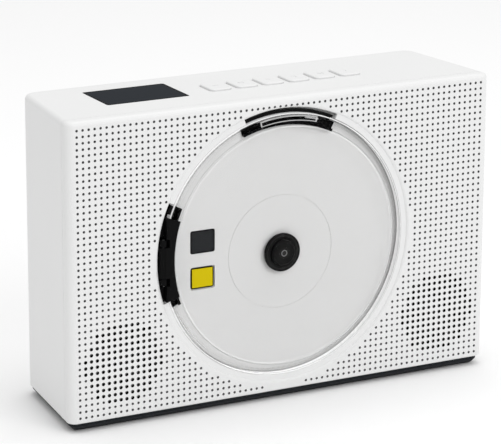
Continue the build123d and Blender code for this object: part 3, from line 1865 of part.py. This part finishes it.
os.makedirs("parts", exist_ok=True)
for piece in pieces:
    export_step(piece, f"parts/{piece.label}.step")
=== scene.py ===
import math
import bpy
from mathutils import Matrix, Vector


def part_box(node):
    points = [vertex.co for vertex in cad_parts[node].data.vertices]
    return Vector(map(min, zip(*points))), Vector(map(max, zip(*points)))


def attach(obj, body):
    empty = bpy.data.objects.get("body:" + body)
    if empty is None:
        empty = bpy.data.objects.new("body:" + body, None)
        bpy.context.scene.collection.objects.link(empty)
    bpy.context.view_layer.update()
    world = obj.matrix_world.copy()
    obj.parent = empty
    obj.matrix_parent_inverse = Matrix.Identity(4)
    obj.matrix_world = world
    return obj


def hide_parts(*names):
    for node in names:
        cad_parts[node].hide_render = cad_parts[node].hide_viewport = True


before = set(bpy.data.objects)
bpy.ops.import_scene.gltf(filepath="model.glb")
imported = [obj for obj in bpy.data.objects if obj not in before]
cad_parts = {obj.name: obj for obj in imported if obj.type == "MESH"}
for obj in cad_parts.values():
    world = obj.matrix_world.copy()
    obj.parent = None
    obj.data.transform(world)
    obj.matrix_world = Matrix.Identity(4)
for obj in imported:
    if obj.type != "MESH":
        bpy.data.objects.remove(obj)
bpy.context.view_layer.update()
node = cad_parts

# ---- Camera ----
# A long lens stands in front and to the left of the player, a little above it, and looks
# slightly down, so that the front, the left side and the top are all in the picture.
eye = Vector((-0.7165, -1.3464, 0.5279))
sight = Vector((0.4509, 0.8496, -0.2737)).normalized()
level = Vector((0.8838, -0.4679, 0.0037))
level = (level - sight * level.dot(sight)).normalized()
upward = level.cross(sight)
film_width = 36.0
film_width_in_pixels = 501.0
focal_length_in_pixels = 2798.0
bpy.ops.object.camera_add()
camera = bpy.context.active_object
camera.name = "Camera"
camera.matrix_world = Matrix((
    (level.x, upward.x, -sight.x, eye.x),
    (level.y, upward.y, -sight.y, eye.y),
    (level.z, upward.z, -sight.z, eye.z),
    (0.0, 0.0, 0.0, 1.0),
))
camera.data.sensor_width = film_width
camera.data.lens = film_width * focal_length_in_pixels / film_width_in_pixels
camera.data.clip_start = 0.05
camera.data.dof.use_dof = False
bpy.context.scene.camera = camera

# ---- Studio: paper floor, room light and two softboxes ----
# White background paper lies under the player in an even white room. One softbox stands in
# front of it to the right and one hangs above, so that the left side stays a shade darker.
paper_dark = (0.955, 0.955, 0.955)
paper_light = (0.97, 0.97, 0.97)
room_white = (1.0, 1.0, 1.0, 1.0)
room_strength = 0.705


def join(tree, *pairs):
    """Links the sockets of a material, each pair from the first to the second."""
    for giver, taker in pairs:
        tree.links.new(giver, taker)


def clouds(tree, scale, detail=2.0):
    """Soft clouds that run from 0 to 1; the scale says how many fit in a metre."""
    place = tree.nodes.new("ShaderNodeTexCoord")
    noise = tree.nodes.new("ShaderNodeTexNoise")
    noise.inputs["Scale"].default_value = scale
    noise.inputs["Detail"].default_value = detail
    join(tree, (place.outputs["Object"], noise.inputs["Vector"]))
    return noise.outputs["Fac"]


def two_tones(tree, share, dark, light, spread=(0.0, 1.0)):
    """A colour that goes from dark to light as the share runs over the spread."""
    ramp = tree.nodes.new("ShaderNodeValToRGB")
    for stop, position, colour in zip(ramp.color_ramp.elements, spread, (dark, light)):
        stop.position = position
        stop.color = (*colour, 1.0)
    join(tree, (share, ramp.inputs["Fac"]))
    return ramp.outputs["Color"]


def softbox(name, place, aim, size, power):
    """A square lamp behind diffuser cloth, aimed at a point."""
    bpy.ops.object.light_add(type="AREA", location=place)
    lamp = bpy.context.active_object
    lamp.name = name
    lamp.data.shape = "SQUARE"
    lamp.data.size = size
    lamp.data.energy = power
    lamp.rotation_euler = (Vector(aim) - Vector(place)).to_track_quat("-Z", "Y").to_euler()


bpy.ops.mesh.primitive_plane_add(size=14.0, location=(0.0, 2.0, 0.0))
floor = bpy.context.active_object
floor.name = "background_paper"
bpy.ops.object.transform_apply(location=True, rotation=True, scale=True)
paper = bpy.data.materials.new("background paper")
paper.use_nodes = True
paper_skin = paper.node_tree.nodes["Principled BSDF"]
paper_skin.inputs["Roughness"].default_value = 0.95
paper_skin.inputs["Specular IOR Level"].default_value = 0.1
paper_fibre = clouds(paper.node_tree, scale=3.0)
paper_tone = two_tones(paper.node_tree, paper_fibre, paper_dark, paper_light)
join(paper.node_tree, (paper_tone, paper_skin.inputs["Base Color"]))
floor.data.materials.append(paper)

room = bpy.data.worlds.new("white room")
room.use_nodes = True
room.node_tree.nodes["Background"].inputs["Color"].default_value = room_white
room.node_tree.nodes["Background"].inputs["Strength"].default_value = room_strength
bpy.context.scene.world = room
bpy.context.scene.view_settings.view_transform = "Standard"

softbox("front_softbox", place=(0.75, -2.3, 1.65), aim=(0.0, 0.0, 0.08), size=1.6, power=18.2)
softbox("top_softbox", place=(0.2, 0.1, 2.2), aim=(0.0, 0.0, 0.1), size=1.8, power=16.4)

# ---- Base plate and rubber feet ----
# The base is one shallow black moulding that closes the bottom of the cabinet, screwed up
# from below. Four round rubber pads are stuck in its recesses.


def between(tree, share, low, high):
    """A number that goes from low to high as the share runs from 0 to 1."""
    scale = tree.nodes.new("ShaderNodeMapRange")
    scale.inputs["To Min"].default_value = low
    scale.inputs["To Max"].default_value = high
    join(tree, (share, scale.inputs["Value"]))
    return scale.outputs["Result"]


def grained_finish(name, colour, roughness, grain, shine=0.5, cloud=0.03, metal=0.0):
    """A moulded, painted or plated face: faint clouds in its colour and a fine grain."""
    finish = bpy.data.materials.new(name)
    finish.use_nodes = True
    tree = finish.node_tree
    skin = tree.nodes["Principled BSDF"]
    skin.inputs["Specular IOR Level"].default_value = shine
    skin.inputs["Metallic"].default_value = metal
    flow = clouds(tree, scale=22.0, detail=3.0)
    clouded = [part * (1.0 - cloud) for part in colour]
    tone = two_tones(tree, flow, clouded, colour, spread=(0.3, 0.7))
    eroded = clouds(tree, scale=grain)
    play = 0.05
    gloss = between(tree, eroded, roughness - play, roughness + play)
    relief = tree.nodes.new("ShaderNodeBump")
    relief.inputs["Strength"].default_value = 0.25
    relief.inputs["Distance"].default_value = 0.00003
    join(
        tree,
        (tone, skin.inputs["Base Color"]),
        (gloss, skin.inputs["Roughness"]),
        (eroded, relief.inputs["Height"]),
        (relief.outputs["Normal"], skin.inputs["Normal"]),
    )
    return finish


def finish_as(finish, *names):
    """Gives these solids of the frame one finish."""
    for name in names:
        node[name].data.materials.clear()
        node[name].data.materials.append(finish)


base_plastic = grained_finish(
    "black base plastic", colour=(0.0060, 0.0080, 0.0110), roughness=0.5, grain=2600.0, shine=0.18
)
finish_as(base_plastic, "base_plate")
foot_rubber = grained_finish(
    "foot rubber", colour=(0.018, 0.018, 0.019), roughness=0.85, grain=3600.0, shine=0.2
)
finish_as(foot_rubber, "rubber_feet")

# ---- Rear shell ----
# The shell is a white moulded sleeve: top, sides and bottom in one, with the wells of the
# keys and the display in its top. A flat white panel with two keyholes closes its back.
white = (0.800, 0.802, 0.800)
shell_plastic = grained_finish(
    "white shell plastic", colour=white, roughness=0.42, grain=2800.0, shine=0.35, cloud=0.012
)
finish_as(shell_plastic, "housing", "back_panel")

# ---- Front with its moulded holes ----
# The front is a separate white moulding that slides over the lip of the shell. A square
# grid of holes covers it: open ones over the two drivers, and blind dimples elsewhere. The
# walls of the dimples are painted grey and those of the open holes painted black: painted
# shade that stands in for the shadow inside the holes.
front_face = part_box("front_panel")[0].y
pitch = 0.0035
grid_height = 0.0891
grid_columns, grid_rows = 73, 47
top_row = grid_height + (grid_rows - 1) / 2 * pitch
clear_of_bay = 0.0812
driver_centres = ((-0.09975, 0.0366), (0.09975, 0.0366))
driver_columns, driver_rows = 14, 15
driver_reach = 0.0238
pin_lead = 0.0004
flat_on = 0.9999
front_plastic = grained_finish(
    "white front plastic", colour=white, roughness=0.42, grain=2800.0, shine=0.35, cloud=0.012
)
# The grey of the dimple walls is painted shade, the shadow inside the blind dimples.
dimple_painted_shade = grained_finish(
    "dimple painted shade",
    colour=(0.24, 0.24, 0.245),
    roughness=0.6,
    grain=2800.0,
    shine=0.2,
    cloud=0.02,
)
# The black of the open holes' walls is painted shade, the dark inside the holes over the drivers.
hole_painted_shade = grained_finish(
    "driver hole painted shade",
    colour=(0.010, 0.010, 0.010),
    roughness=0.7,
    grain=2800.0,
    shine=0.05,
    cloud=0.02,
)


def pick(thing):
    """Selects one object and nothing else, for the operators that follow."""
    bpy.ops.object.select_all(action="DESELECT")
    bpy.context.view_layer.objects.active = thing
    thing.select_set(True)


def punch_grid(name, centre, columns, rows, radius, taper, depth, shade):
    """A grid of tapered pins that stand in the face of the front, to press its holes with."""
    left = centre[0] - (columns - 1) / 2 * pitch
    top = centre[1] + (rows - 1) / 2 * pitch
    bpy.ops.object.select_all(action="DESELECT")
    bpy.ops.mesh.primitive_cylinder_add(
        vertices=12,
        radius=radius,
        depth=depth,
        location=(left, front_face + depth / 2 - pin_lead, top),
        rotation=(math.pi / 2, 0.0, 0.0),
    )
    pins = bpy.context.active_object
    pins.name = name
    bpy.ops.object.transform_apply(location=True, rotation=True, scale=True)
    bpy.ops.object.mode_set(mode="EDIT")
    bpy.ops.mesh.select_all(action="DESELECT")
    bpy.ops.object.mode_set(mode="OBJECT")
    for corner in pins.data.vertices:
        corner.select = corner.co.y > front_face + depth / 2
    bpy.ops.object.mode_set(mode="EDIT")
    bpy.ops.transform.resize(value=(taper, 1.0, taper))
    bpy.ops.object.mode_set(mode="OBJECT")
    for count, step in ((columns, (pitch, 0.0, 0.0)), (rows, (0.0, 0.0, -pitch))):
        row = pins.modifiers.new("row", "ARRAY")
        row.count = count
        row.use_relative_offset = False
        row.use_constant_offset = True
        row.constant_offset_displace = step
        bpy.ops.object.modifier_apply(modifier="row")
    pins.data.materials.append(shade)
    return pins


def thin_out(pins, unwanted):
    """Takes away the pins whose place on the front is unwanted."""
    for part in (*pins.data.polygons, *pins.data.edges):
        part.select = False
    for corner in pins.data.vertices:
        across = round(corner.co.x / pitch) * pitch
        up = grid_height + round((corner.co.z - grid_height) / pitch) * pitch
        corner.select = unwanted(across, up)
    bpy.ops.object.mode_set(mode="EDIT")
    bpy.ops.mesh.delete(type="VERT")
    bpy.ops.object.mode_set(mode="OBJECT")


def press_holes(pins):
    """Cuts the pins out of the front and takes them away."""
    pick(front)
    punched = front.modifiers.new("punched", "BOOLEAN")
    punched.operation = "DIFFERENCE"
    punched.solver = "MANIFOLD"
    punched.material_mode = "TRANSFER"
    punched.object = pins
    bpy.ops.object.modifier_apply(modifier="punched")
    bpy.data.objects.remove(pins)


def without_dimple(across, up):
    """Tells where no dimple goes: in the bay, below the top row, and over the two drivers."""
    in_bay = math.hypot(across, up - grid_height) < clear_of_bay and up < top_row - pitch / 2
    return in_bay or any(math.hypot(across - x, up - z) < driver_reach for x, z in driver_centres)


front = bpy.data.objects.new("dimpled_front", node["front_panel"].data.copy())
bpy.context.scene.collection.objects.link(front)
pick(front)
front.data.materials.clear()
front.data.materials.append(front_plastic)
bpy.ops.object.mode_set(mode="EDIT")
bpy.ops.mesh.select_all(action="SELECT")
bpy.ops.mesh.remove_doubles(threshold=0.000001)
bpy.ops.object.mode_set(mode="OBJECT")

dimples = punch_grid(
    "dimple_pins",
    centre=(0.0, grid_height),
    columns=grid_columns,
    rows=grid_rows,
    radius=0.00083,
    taper=0.7,
    depth=0.0018,
    shade=dimple_painted_shade,
)
thin_out(dimples, without_dimple)
press_holes(dimples)
for driver_x, driver_z in driver_centres:
    holes = punch_grid(
        "driver_pins",
        centre=(driver_x, driver_z),
        columns=driver_columns,
        rows=driver_rows,
        radius=0.00103,
        taper=1.0,
        depth=0.0024,
        shade=hole_painted_shade,
    )
    thin_out(holes, lambda x, z: math.hypot(x - driver_x, z - driver_z) > driver_reach)
    press_holes(holes)

pick(front)
bpy.ops.object.shade_smooth_by_angle(angle=math.radians(32.0))
for face in front.data.polygons:
    if abs(face.normal.y) > flat_on:
        face.use_smooth = False
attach(front, "cabinet")
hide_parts("front_panel")

# ---- Disc deck and its inlays ----
# The deck is a light grey moulding behind the bay, with a turned line round the spindle.
# A strip of the same grey covers the pickup's slot, and two small inlays sit at the left.
deck_plastic = grained_finish(
    "grey deck plastic",
    colour=(0.655, 0.655, 0.652),
    roughness=0.5,
    grain=3000.0,
    shine=0.3,
    cloud=0.012,
)
finish_as(deck_plastic, "disc_deck", "pickup_window")


def worked_out(tree, operation, first, second=0.0, clamp=False):
    """One step of arithmetic on two sockets, or on a socket and a number."""
    step = tree.nodes.new("ShaderNodeMath")
    step.operation = operation
    step.use_clamp = clamp
    join(tree, (first, step.inputs[0]))
    if isinstance(second, bpy.types.NodeSocket):
        join(tree, (second, step.inputs[1]))
    else:
        step.inputs[1].default_value = second
    return step.outputs[0]


def laid_over(tree, share, ground, cover):
    """The ground colour, covered by another one by a share between 0 and 1."""
    blend = tree.nodes.new("ShaderNodeMix")
    blend.data_type = "RGBA"
    below, above = [socket for socket in blend.inputs if socket.type == "RGBA"]
    above.default_value = (*cover, 1.0)
    join(tree, (share, blend.inputs["Factor"]), (ground, below))
    return next(socket for socket in blend.outputs if socket.type == "RGBA")


def framed_inlay(name, inner, outer, box, axes, border, roughness):
    """An inlay with a darker border round it; on the yellow pad this border is painted shade."""
    low, high = box
    inlay = bpy.data.materials.new(name)
    inlay.use_nodes = True
    tree = inlay.node_tree
    skin = tree.nodes["Principled BSDF"]
    skin.inputs["Specular IOR Level"].default_value = 0.004
    skin.inputs["Roughness"].default_value = roughness
    place = tree.nodes.new("ShaderNodeTexCoord")
    centred = tree.nodes.new("ShaderNodeMapping")
    centred.inputs["Location"].default_value = -(low + high) / 2
    parts = tree.nodes.new("ShaderNodeSeparateXYZ")
    past_edges = []
    for axis in axes:
        side = "XYZ".index(axis)
        away = worked_out(tree, "ABSOLUTE", parts.outputs[axis])
        inside = (high[side] - low[side]) / 2 - border
        past_edges.append(worked_out(tree, "SUBTRACT", away, inside))
    border_softness = 0.0001
    edge = tree.nodes.new("ShaderNodeMapRange")
    edge.inputs["From Min"].default_value = -border_softness
    edge.inputs["From Max"].default_value = border_softness
    thicker_ink = 0.94
    mottled = [part * thicker_ink for part in inner]
    field = two_tones(tree, clouds(tree, scale=120.0), mottled, inner)
    framed = laid_over(tree, edge.outputs["Result"], field, outer)
    join(
        tree,
        (place.outputs["Object"], centred.inputs["Vector"]),
        (centred.outputs["Vector"], parts.inputs["Vector"]),
        (worked_out(tree, "MAXIMUM", *past_edges), edge.inputs["Value"]),
        (framed, skin.inputs["Base Color"]),
    )
    return inlay


# The yellow pad's dark border is painted shade, the shadow of the recess round the pad.
yellow_inlay = framed_inlay(
    "yellow inlay",
    inner=(0.62, 0.49, 0.007),
    outer=(0.010, 0.009, 0.004),
    box=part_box("yellow_pad"),
    axes="XZ",
    border=0.0007,
    roughness=0.45,
)
finish_as(yellow_inlay, "yellow_pad")
sensor_plastic = framed_inlay(
    "smoked sensor plastic",
    inner=(0.026, 0.027, 0.029),
    outer=(0.006, 0.006, 0.006),
    box=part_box("charcoal_window"),
    axes="XZ",
    border=0.0007,
    roughness=0.3,
)
finish_as(sensor_plastic, "charcoal_window")

# ---- Clear lid ----
# One moulding of clear acrylic: a round window with a turned rim that stands on the deck's
# edge. Fine rings of painted highlight and painted shade lie on the edges of its steps and of
# its grip tab, in place of the light that these edges refract, and the outer edge is a painted
# highlight that glows a little, though it is no lamp.
lid_low, lid_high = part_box("lid")
lid_height = (lid_low.z + lid_high.z) / 2
lid_reach = 0.08
window_bevel = (0.0676, 0.0680)
window_edge = (0.0683, 0.0688)
rim_step = (0.0718, 0.0721)
rim_painted_shadow = (0.0736, 0.0742)
outer_edge = (0.0742, 0.0754)
outer_wall = (0.0744, 0.0753)
tab_border = (0.0712, 0.0742)
tab_painted_grey = (0.60, 0.60, 0.60)
tab_skin = 0.00005
tab_front = lid_low.y + tab_skin
# Strength of the painted glow on the outer edge, a painted highlight though it is no lamp.
painted_glow_strength = 0.16
# Ground tone of the painted rings, seen where the lid is less clear.
painted_ring_white = 0.985
light_let_through = (0.96, 0.96, 0.96, 1.0)


def ring_tones(tree, height, reach, ground, *rings):
    """Tones in rings round a height on the middle line, each as ((from, to), tone)."""
    place = tree.nodes.new("ShaderNodeTexCoord")
    centred = tree.nodes.new("ShaderNodeMapping")
    centred.inputs["Location"].default_value = (0.0, 0.0, -height)
    centred.inputs["Scale"].default_value = (1.0, 0.0, 1.0)
    radius = tree.nodes.new("ShaderNodeVectorMath")
    radius.operation = "LENGTH"
    tones = tree.nodes.new("ShaderNodeValToRGB")
    stops = tones.color_ramp
    stops.interpolation = "CONSTANT"
    stops.elements.remove(stops.elements[1])
    stops.elements[0].color = (ground, ground, ground, 1.0)
    for (start, end), tone in rings:
        for edge, amount in ((start, tone), (end, ground)):
            stop = stops.elements.new(edge / reach)
            stop.color = (amount, amount, amount, 1.0)
    join(
        tree,
        (place.outputs["Object"], centred.inputs["Vector"]),
        (centred.outputs["Vector"], radius.inputs[0]),
        (worked_out(tree, "DIVIDE", radius.outputs["Value"], reach), tones.inputs["Fac"]),
    )
    return tones.outputs["Color"]


def lid_rings(ground, *rings):
    """Painted tones in rings on the lid, round the middle of its window."""
    return ring_tones(acrylic_tree, lid_height, lid_reach, ground, *rings)


acrylic = bpy.data.materials.new("clear acrylic")
acrylic.use_nodes = True
acrylic_tree = acrylic.node_tree
acrylic_skin = acrylic_tree.nodes["Principled BSDF"]
acrylic_skin.inputs["Roughness"].default_value = 0.01
acrylic_skin.inputs["IOR"].default_value = 1.03
acrylic_skin.inputs["Specular IOR Level"].default_value = 0.0
acrylic_skin.inputs["Emission Strength"].default_value = painted_glow_strength
acrylic_place = acrylic_tree.nodes.new("ShaderNodeTexCoord")
acrylic_parts = acrylic_tree.nodes.new("ShaderNodeSeparateXYZ")
# Painted rings: the grey ones are painted shade and the light ones painted highlights of the
# lid's edges.
painted_ring_tone = lid_rings(
    painted_ring_white, (window_edge, 0.74), (rim_step, 0.90), (rim_painted_shadow, 0.55), (outer_edge, 0.95)
)
# Where these rings are less clear, the painted tones show.
clear_rings = lid_rings(1.0, (window_bevel, 0.4), (outer_wall, 0.1))
# The outer edge glows: a painted highlight.
painted_edge_glow = lid_rings(0.0, (outer_edge, 1.0))
# The grey frame on the grip tab is a painted line of the same kind.
at_front = worked_out(acrylic_tree, "LESS_THAN", acrylic_parts.outputs["Y"], tab_front)
tab_painted_frame = worked_out(acrylic_tree, "MULTIPLY", at_front, lid_rings(0.0, (tab_border, 0.72)))
clearness = worked_out(acrylic_tree, "SUBTRACT", clear_rings, tab_painted_frame, clamp=True)
lid_tone = laid_over(acrylic_tree, tab_painted_frame, painted_ring_tone, tab_painted_grey)
let_through = acrylic_tree.nodes.new("ShaderNodeBsdfTransparent")
let_through.inputs["Color"].default_value = light_let_through
ray_kind = acrylic_tree.nodes.new("ShaderNodeLightPath")
seen_or_lit = acrylic_tree.nodes.new("ShaderNodeMixShader")
join(
    acrylic_tree,
    (acrylic_place.outputs["Object"], acrylic_parts.inputs["Vector"]),
    (lid_tone, acrylic_skin.inputs["Base Color"]),
    (clearness, acrylic_skin.inputs["Transmission Weight"]),
    (painted_edge_glow, acrylic_skin.inputs["Emission Color"]),
    (ray_kind.outputs["Is Shadow Ray"], seen_or_lit.inputs["Fac"]),
    (acrylic_skin.outputs["BSDF"], seen_or_lit.inputs[1]),
    (let_through.outputs["BSDF"], seen_or_lit.inputs[2]),
    (seen_or_lit.outputs["Shader"], acrylic_tree.nodes["Material Output"].inputs["Surface"]),
)
finish_as(acrylic, "lid")

# ---- Hinge and catch ----
# Black mouldings at the left and the top of the bay: the hinge bracket with its steel pin,
# the leaf that is welded to the lid, and the catch, whose plated magnets hold the lid by a
# small steel keeper.
steel_dark = (0.52, 0.52, 0.53)
steel_light = (0.66, 0.66, 0.66)
hinge_plastic = grained_finish(
    "black hinge plastic",
    colour=(0.0040, 0.0040, 0.0042),
    roughness=0.34,
    grain=2400.0,
    shine=0.05,
)
finish_as(hinge_plastic, "hinge_leaf", "hinge_bracket", "catch_block")
bright_steel = bpy.data.materials.new("bright steel")
bright_steel.use_nodes = True
steel_tree = bright_steel.node_tree
steel_skin = steel_tree.nodes["Principled BSDF"]
steel_skin.inputs["Metallic"].default_value = 1.0
drawn = clouds(steel_tree, scale=900.0)
join(
    steel_tree,
    (two_tones(steel_tree, drawn, steel_dark, steel_light), steel_skin.inputs["Base Color"]),
    (between(steel_tree, drawn, low=0.18, high=0.32), steel_skin.inputs["Roughness"]),
)
finish_as(bright_steel, "hinge_pin", "catch_magnets", "lid_keeper", "guide_rods", "feed_axle")

# ---- Spindle and disc mechanism ----
# The hub is a black moulding pressed on the motor's steel shaft, with fine lighter rings in its
# colour; the lightest one, round the shaft, is a painted highlight.
# Behind the deck a dark chassis on rubber bushes carries the rods, the sled with its lens,
# and the gear train.
spindle_low, spindle_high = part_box("spindle_shaft")
spindle_height = (spindle_low.z + spindle_high.z) / 2
hub_reach = 0.02
hub_black = 0.0055
shaft_painted_highlight = (0.0013, 0.0018)
nose_ring = (0.0027, 0.0030)
seat_ring = (0.0092, 0.0097)
hub_plastic = grained_finish(
    "black hub plastic", colour=(0.0065, 0.0065, 0.007), roughness=0.36, grain=2600.0, shine=0.08
)
hub_tree = hub_plastic.node_tree
# The ring round the shaft is a painted highlight; the two others are only lighter rings.
hub_tone = ring_tones(
    hub_tree,
    spindle_height,
    hub_reach,
    hub_black,
    (shaft_painted_highlight, 0.20),
    (nose_ring, 0.020),
    (seat_ring, 0.022),
)
join(hub_tree, (hub_tone, hub_tree.nodes["Principled BSDF"].inputs["Base Color"]))
finish_as(hub_plastic, "spindle_hub")
blackened_steel = grained_finish(
    "blackened steel", colour=(0.012, 0.012, 0.012), roughness=0.5, grain=900.0, shine=0.2
)
finish_as(blackened_steel, "spindle_shaft")
chassis_plastic = grained_finish(
    "dark chassis plastic", colour=(0.030, 0.031, 0.033), roughness=0.6, grain=2400.0
)
finish_as(chassis_plastic, "mech_chassis", "pickup_sled")
bush_rubber = grained_finish(
    "bush rubber", colour=(0.015, 0.015, 0.015), roughness=0.8, grain=3600.0, shine=0.2
)
finish_as(bush_rubber, "mech_dampers")
motor_can = grained_finish(
    "plated motor can",
    colour=(0.42, 0.42, 0.43),
    roughness=0.3,
    grain=1600.0,
    shine=0.9,
    metal=1.0,
)
finish_as(motor_can, "spindle_motor", "feed_motor")
gear_plastic = grained_finish(
    "natural gear plastic", colour=(0.62, 0.60, 0.54), roughness=0.4, grain=2800.0
)
finish_as(gear_plastic, "feed_gear", "feed_pinion")
lens_glass = grained_finish(
    "coated lens glass", colour=(0.05, 0.07, 0.16), roughness=0.06, grain=1200.0, shine=0.9
)
finish_as(lens_glass, "pickup_lens")

# ---- Loudspeaker drivers ----
# Each driver is a stamped black basket with a ferrite magnet, a paper cone and a rubber
# surround, screwed behind the open holes of the front.
basket_paint = grained_finish(
    "black basket paint", colour=(0.014, 0.014, 0.015), roughness=0.45, grain=2000.0
)
finish_as(basket_paint, "driver_basket_left", "driver_basket_right")
ferrite = grained_finish(
    "ferrite", colour=(0.055, 0.056, 0.060), roughness=0.7, grain=1800.0, shine=0.3, cloud=0.25
)
finish_as(ferrite, "driver_magnet_left", "driver_magnet_right")
cone_paper = grained_finish(
    "cone paper", colour=(0.012, 0.012, 0.013), roughness=0.85, grain=900.0, shine=0.15, cloud=0.4
)
finish_as(cone_paper, "driver_cone_left", "driver_cone_right")
surround_rubber = grained_finish(
    "surround rubber", colour=(0.010, 0.010, 0.011), roughness=0.6, grain=3200.0, shine=0.3
)
finish_as(surround_rubber, "driver_surround_left", "driver_surround_right")

# ---- Display ----
# A smoked window with a printed black border lies flush in the top, over a dark module
# that is held under it by two screwed tabs.
smoked_window = framed_inlay(
    "smoked display window",
    inner=(0.0115, 0.0150, 0.0205),
    outer=(0.0055, 0.0062, 0.0078),
    box=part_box("display_window"),
    axes="XY",
    border=0.0016,
    roughness=0.22,
)
finish_as(smoked_window, "display_window")
module_plastic = grained_finish(
    "display module plastic", colour=(0.02, 0.02, 0.022), roughness=0.5, grain=2200.0
)
finish_as(module_plastic, "display_module")

# ---- Keys ----
# Six white caps stand a little proud of the top. Each has a flange under it, a stem down
# to its switch, and a small mark of its own moulded into its top.
key_plastic = grained_finish(
    "white key plastic", colour=white, roughness=0.36, grain=3000.0, shine=0.4, cloud=0.01
)
finish_as(key_plastic, "key_1", "key_2", "key_3", "key_4", "key_5", "key_6")

# ---- Boards, sockets and switch ----
# Two green boards carry the parts: one under the keys with its switches, and one on the
# back with the amplifier's heatsink, the capacitors, the two sockets and the power switch.
board_lacquer = grained_finish(
    "green board lacquer", colour=(0.020, 0.12, 0.045), roughness=0.35, grain=700.0, cloud=0.35
)
finish_as(board_lacquer, "key_board", "main_board")
component_plastic = grained_finish(
    "component plastic", colour=(0.014, 0.014, 0.015), roughness=0.45, grain=2600.0
)
finish_as(
    component_plastic, "key_switches", "capacitors", "power_switch", "audio_socket", "power_knob"
)
drawn_aluminium = grained_finish(
    "drawn aluminium",
    colour=(0.60, 0.61, 0.62),
    roughness=0.38,
    grain=1500.0,
    shine=0.8,
    metal=1.0,
)
finish_as(drawn_aluminium, "amplifier_heatsink")
finish_as(motor_can, "power_inlet")

# ---- Screws ----
# Plated pan head screws hold the base, the front, the deck, the drivers, the mechanism,
# the boards and the display.
screw_plating = grained_finish(
    "screw plating",
    colour=(0.34, 0.34, 0.35),
    roughness=0.35,
    grain=1800.0,
    shine=0.8,
    metal=1.0,
)
finish_as(
    screw_plating,
    "base_screws",
    "case_screws",
    "deck_screws",
    "driver_screws",
    "mech_screws",
    "top_screws",
    "board_screws",
)
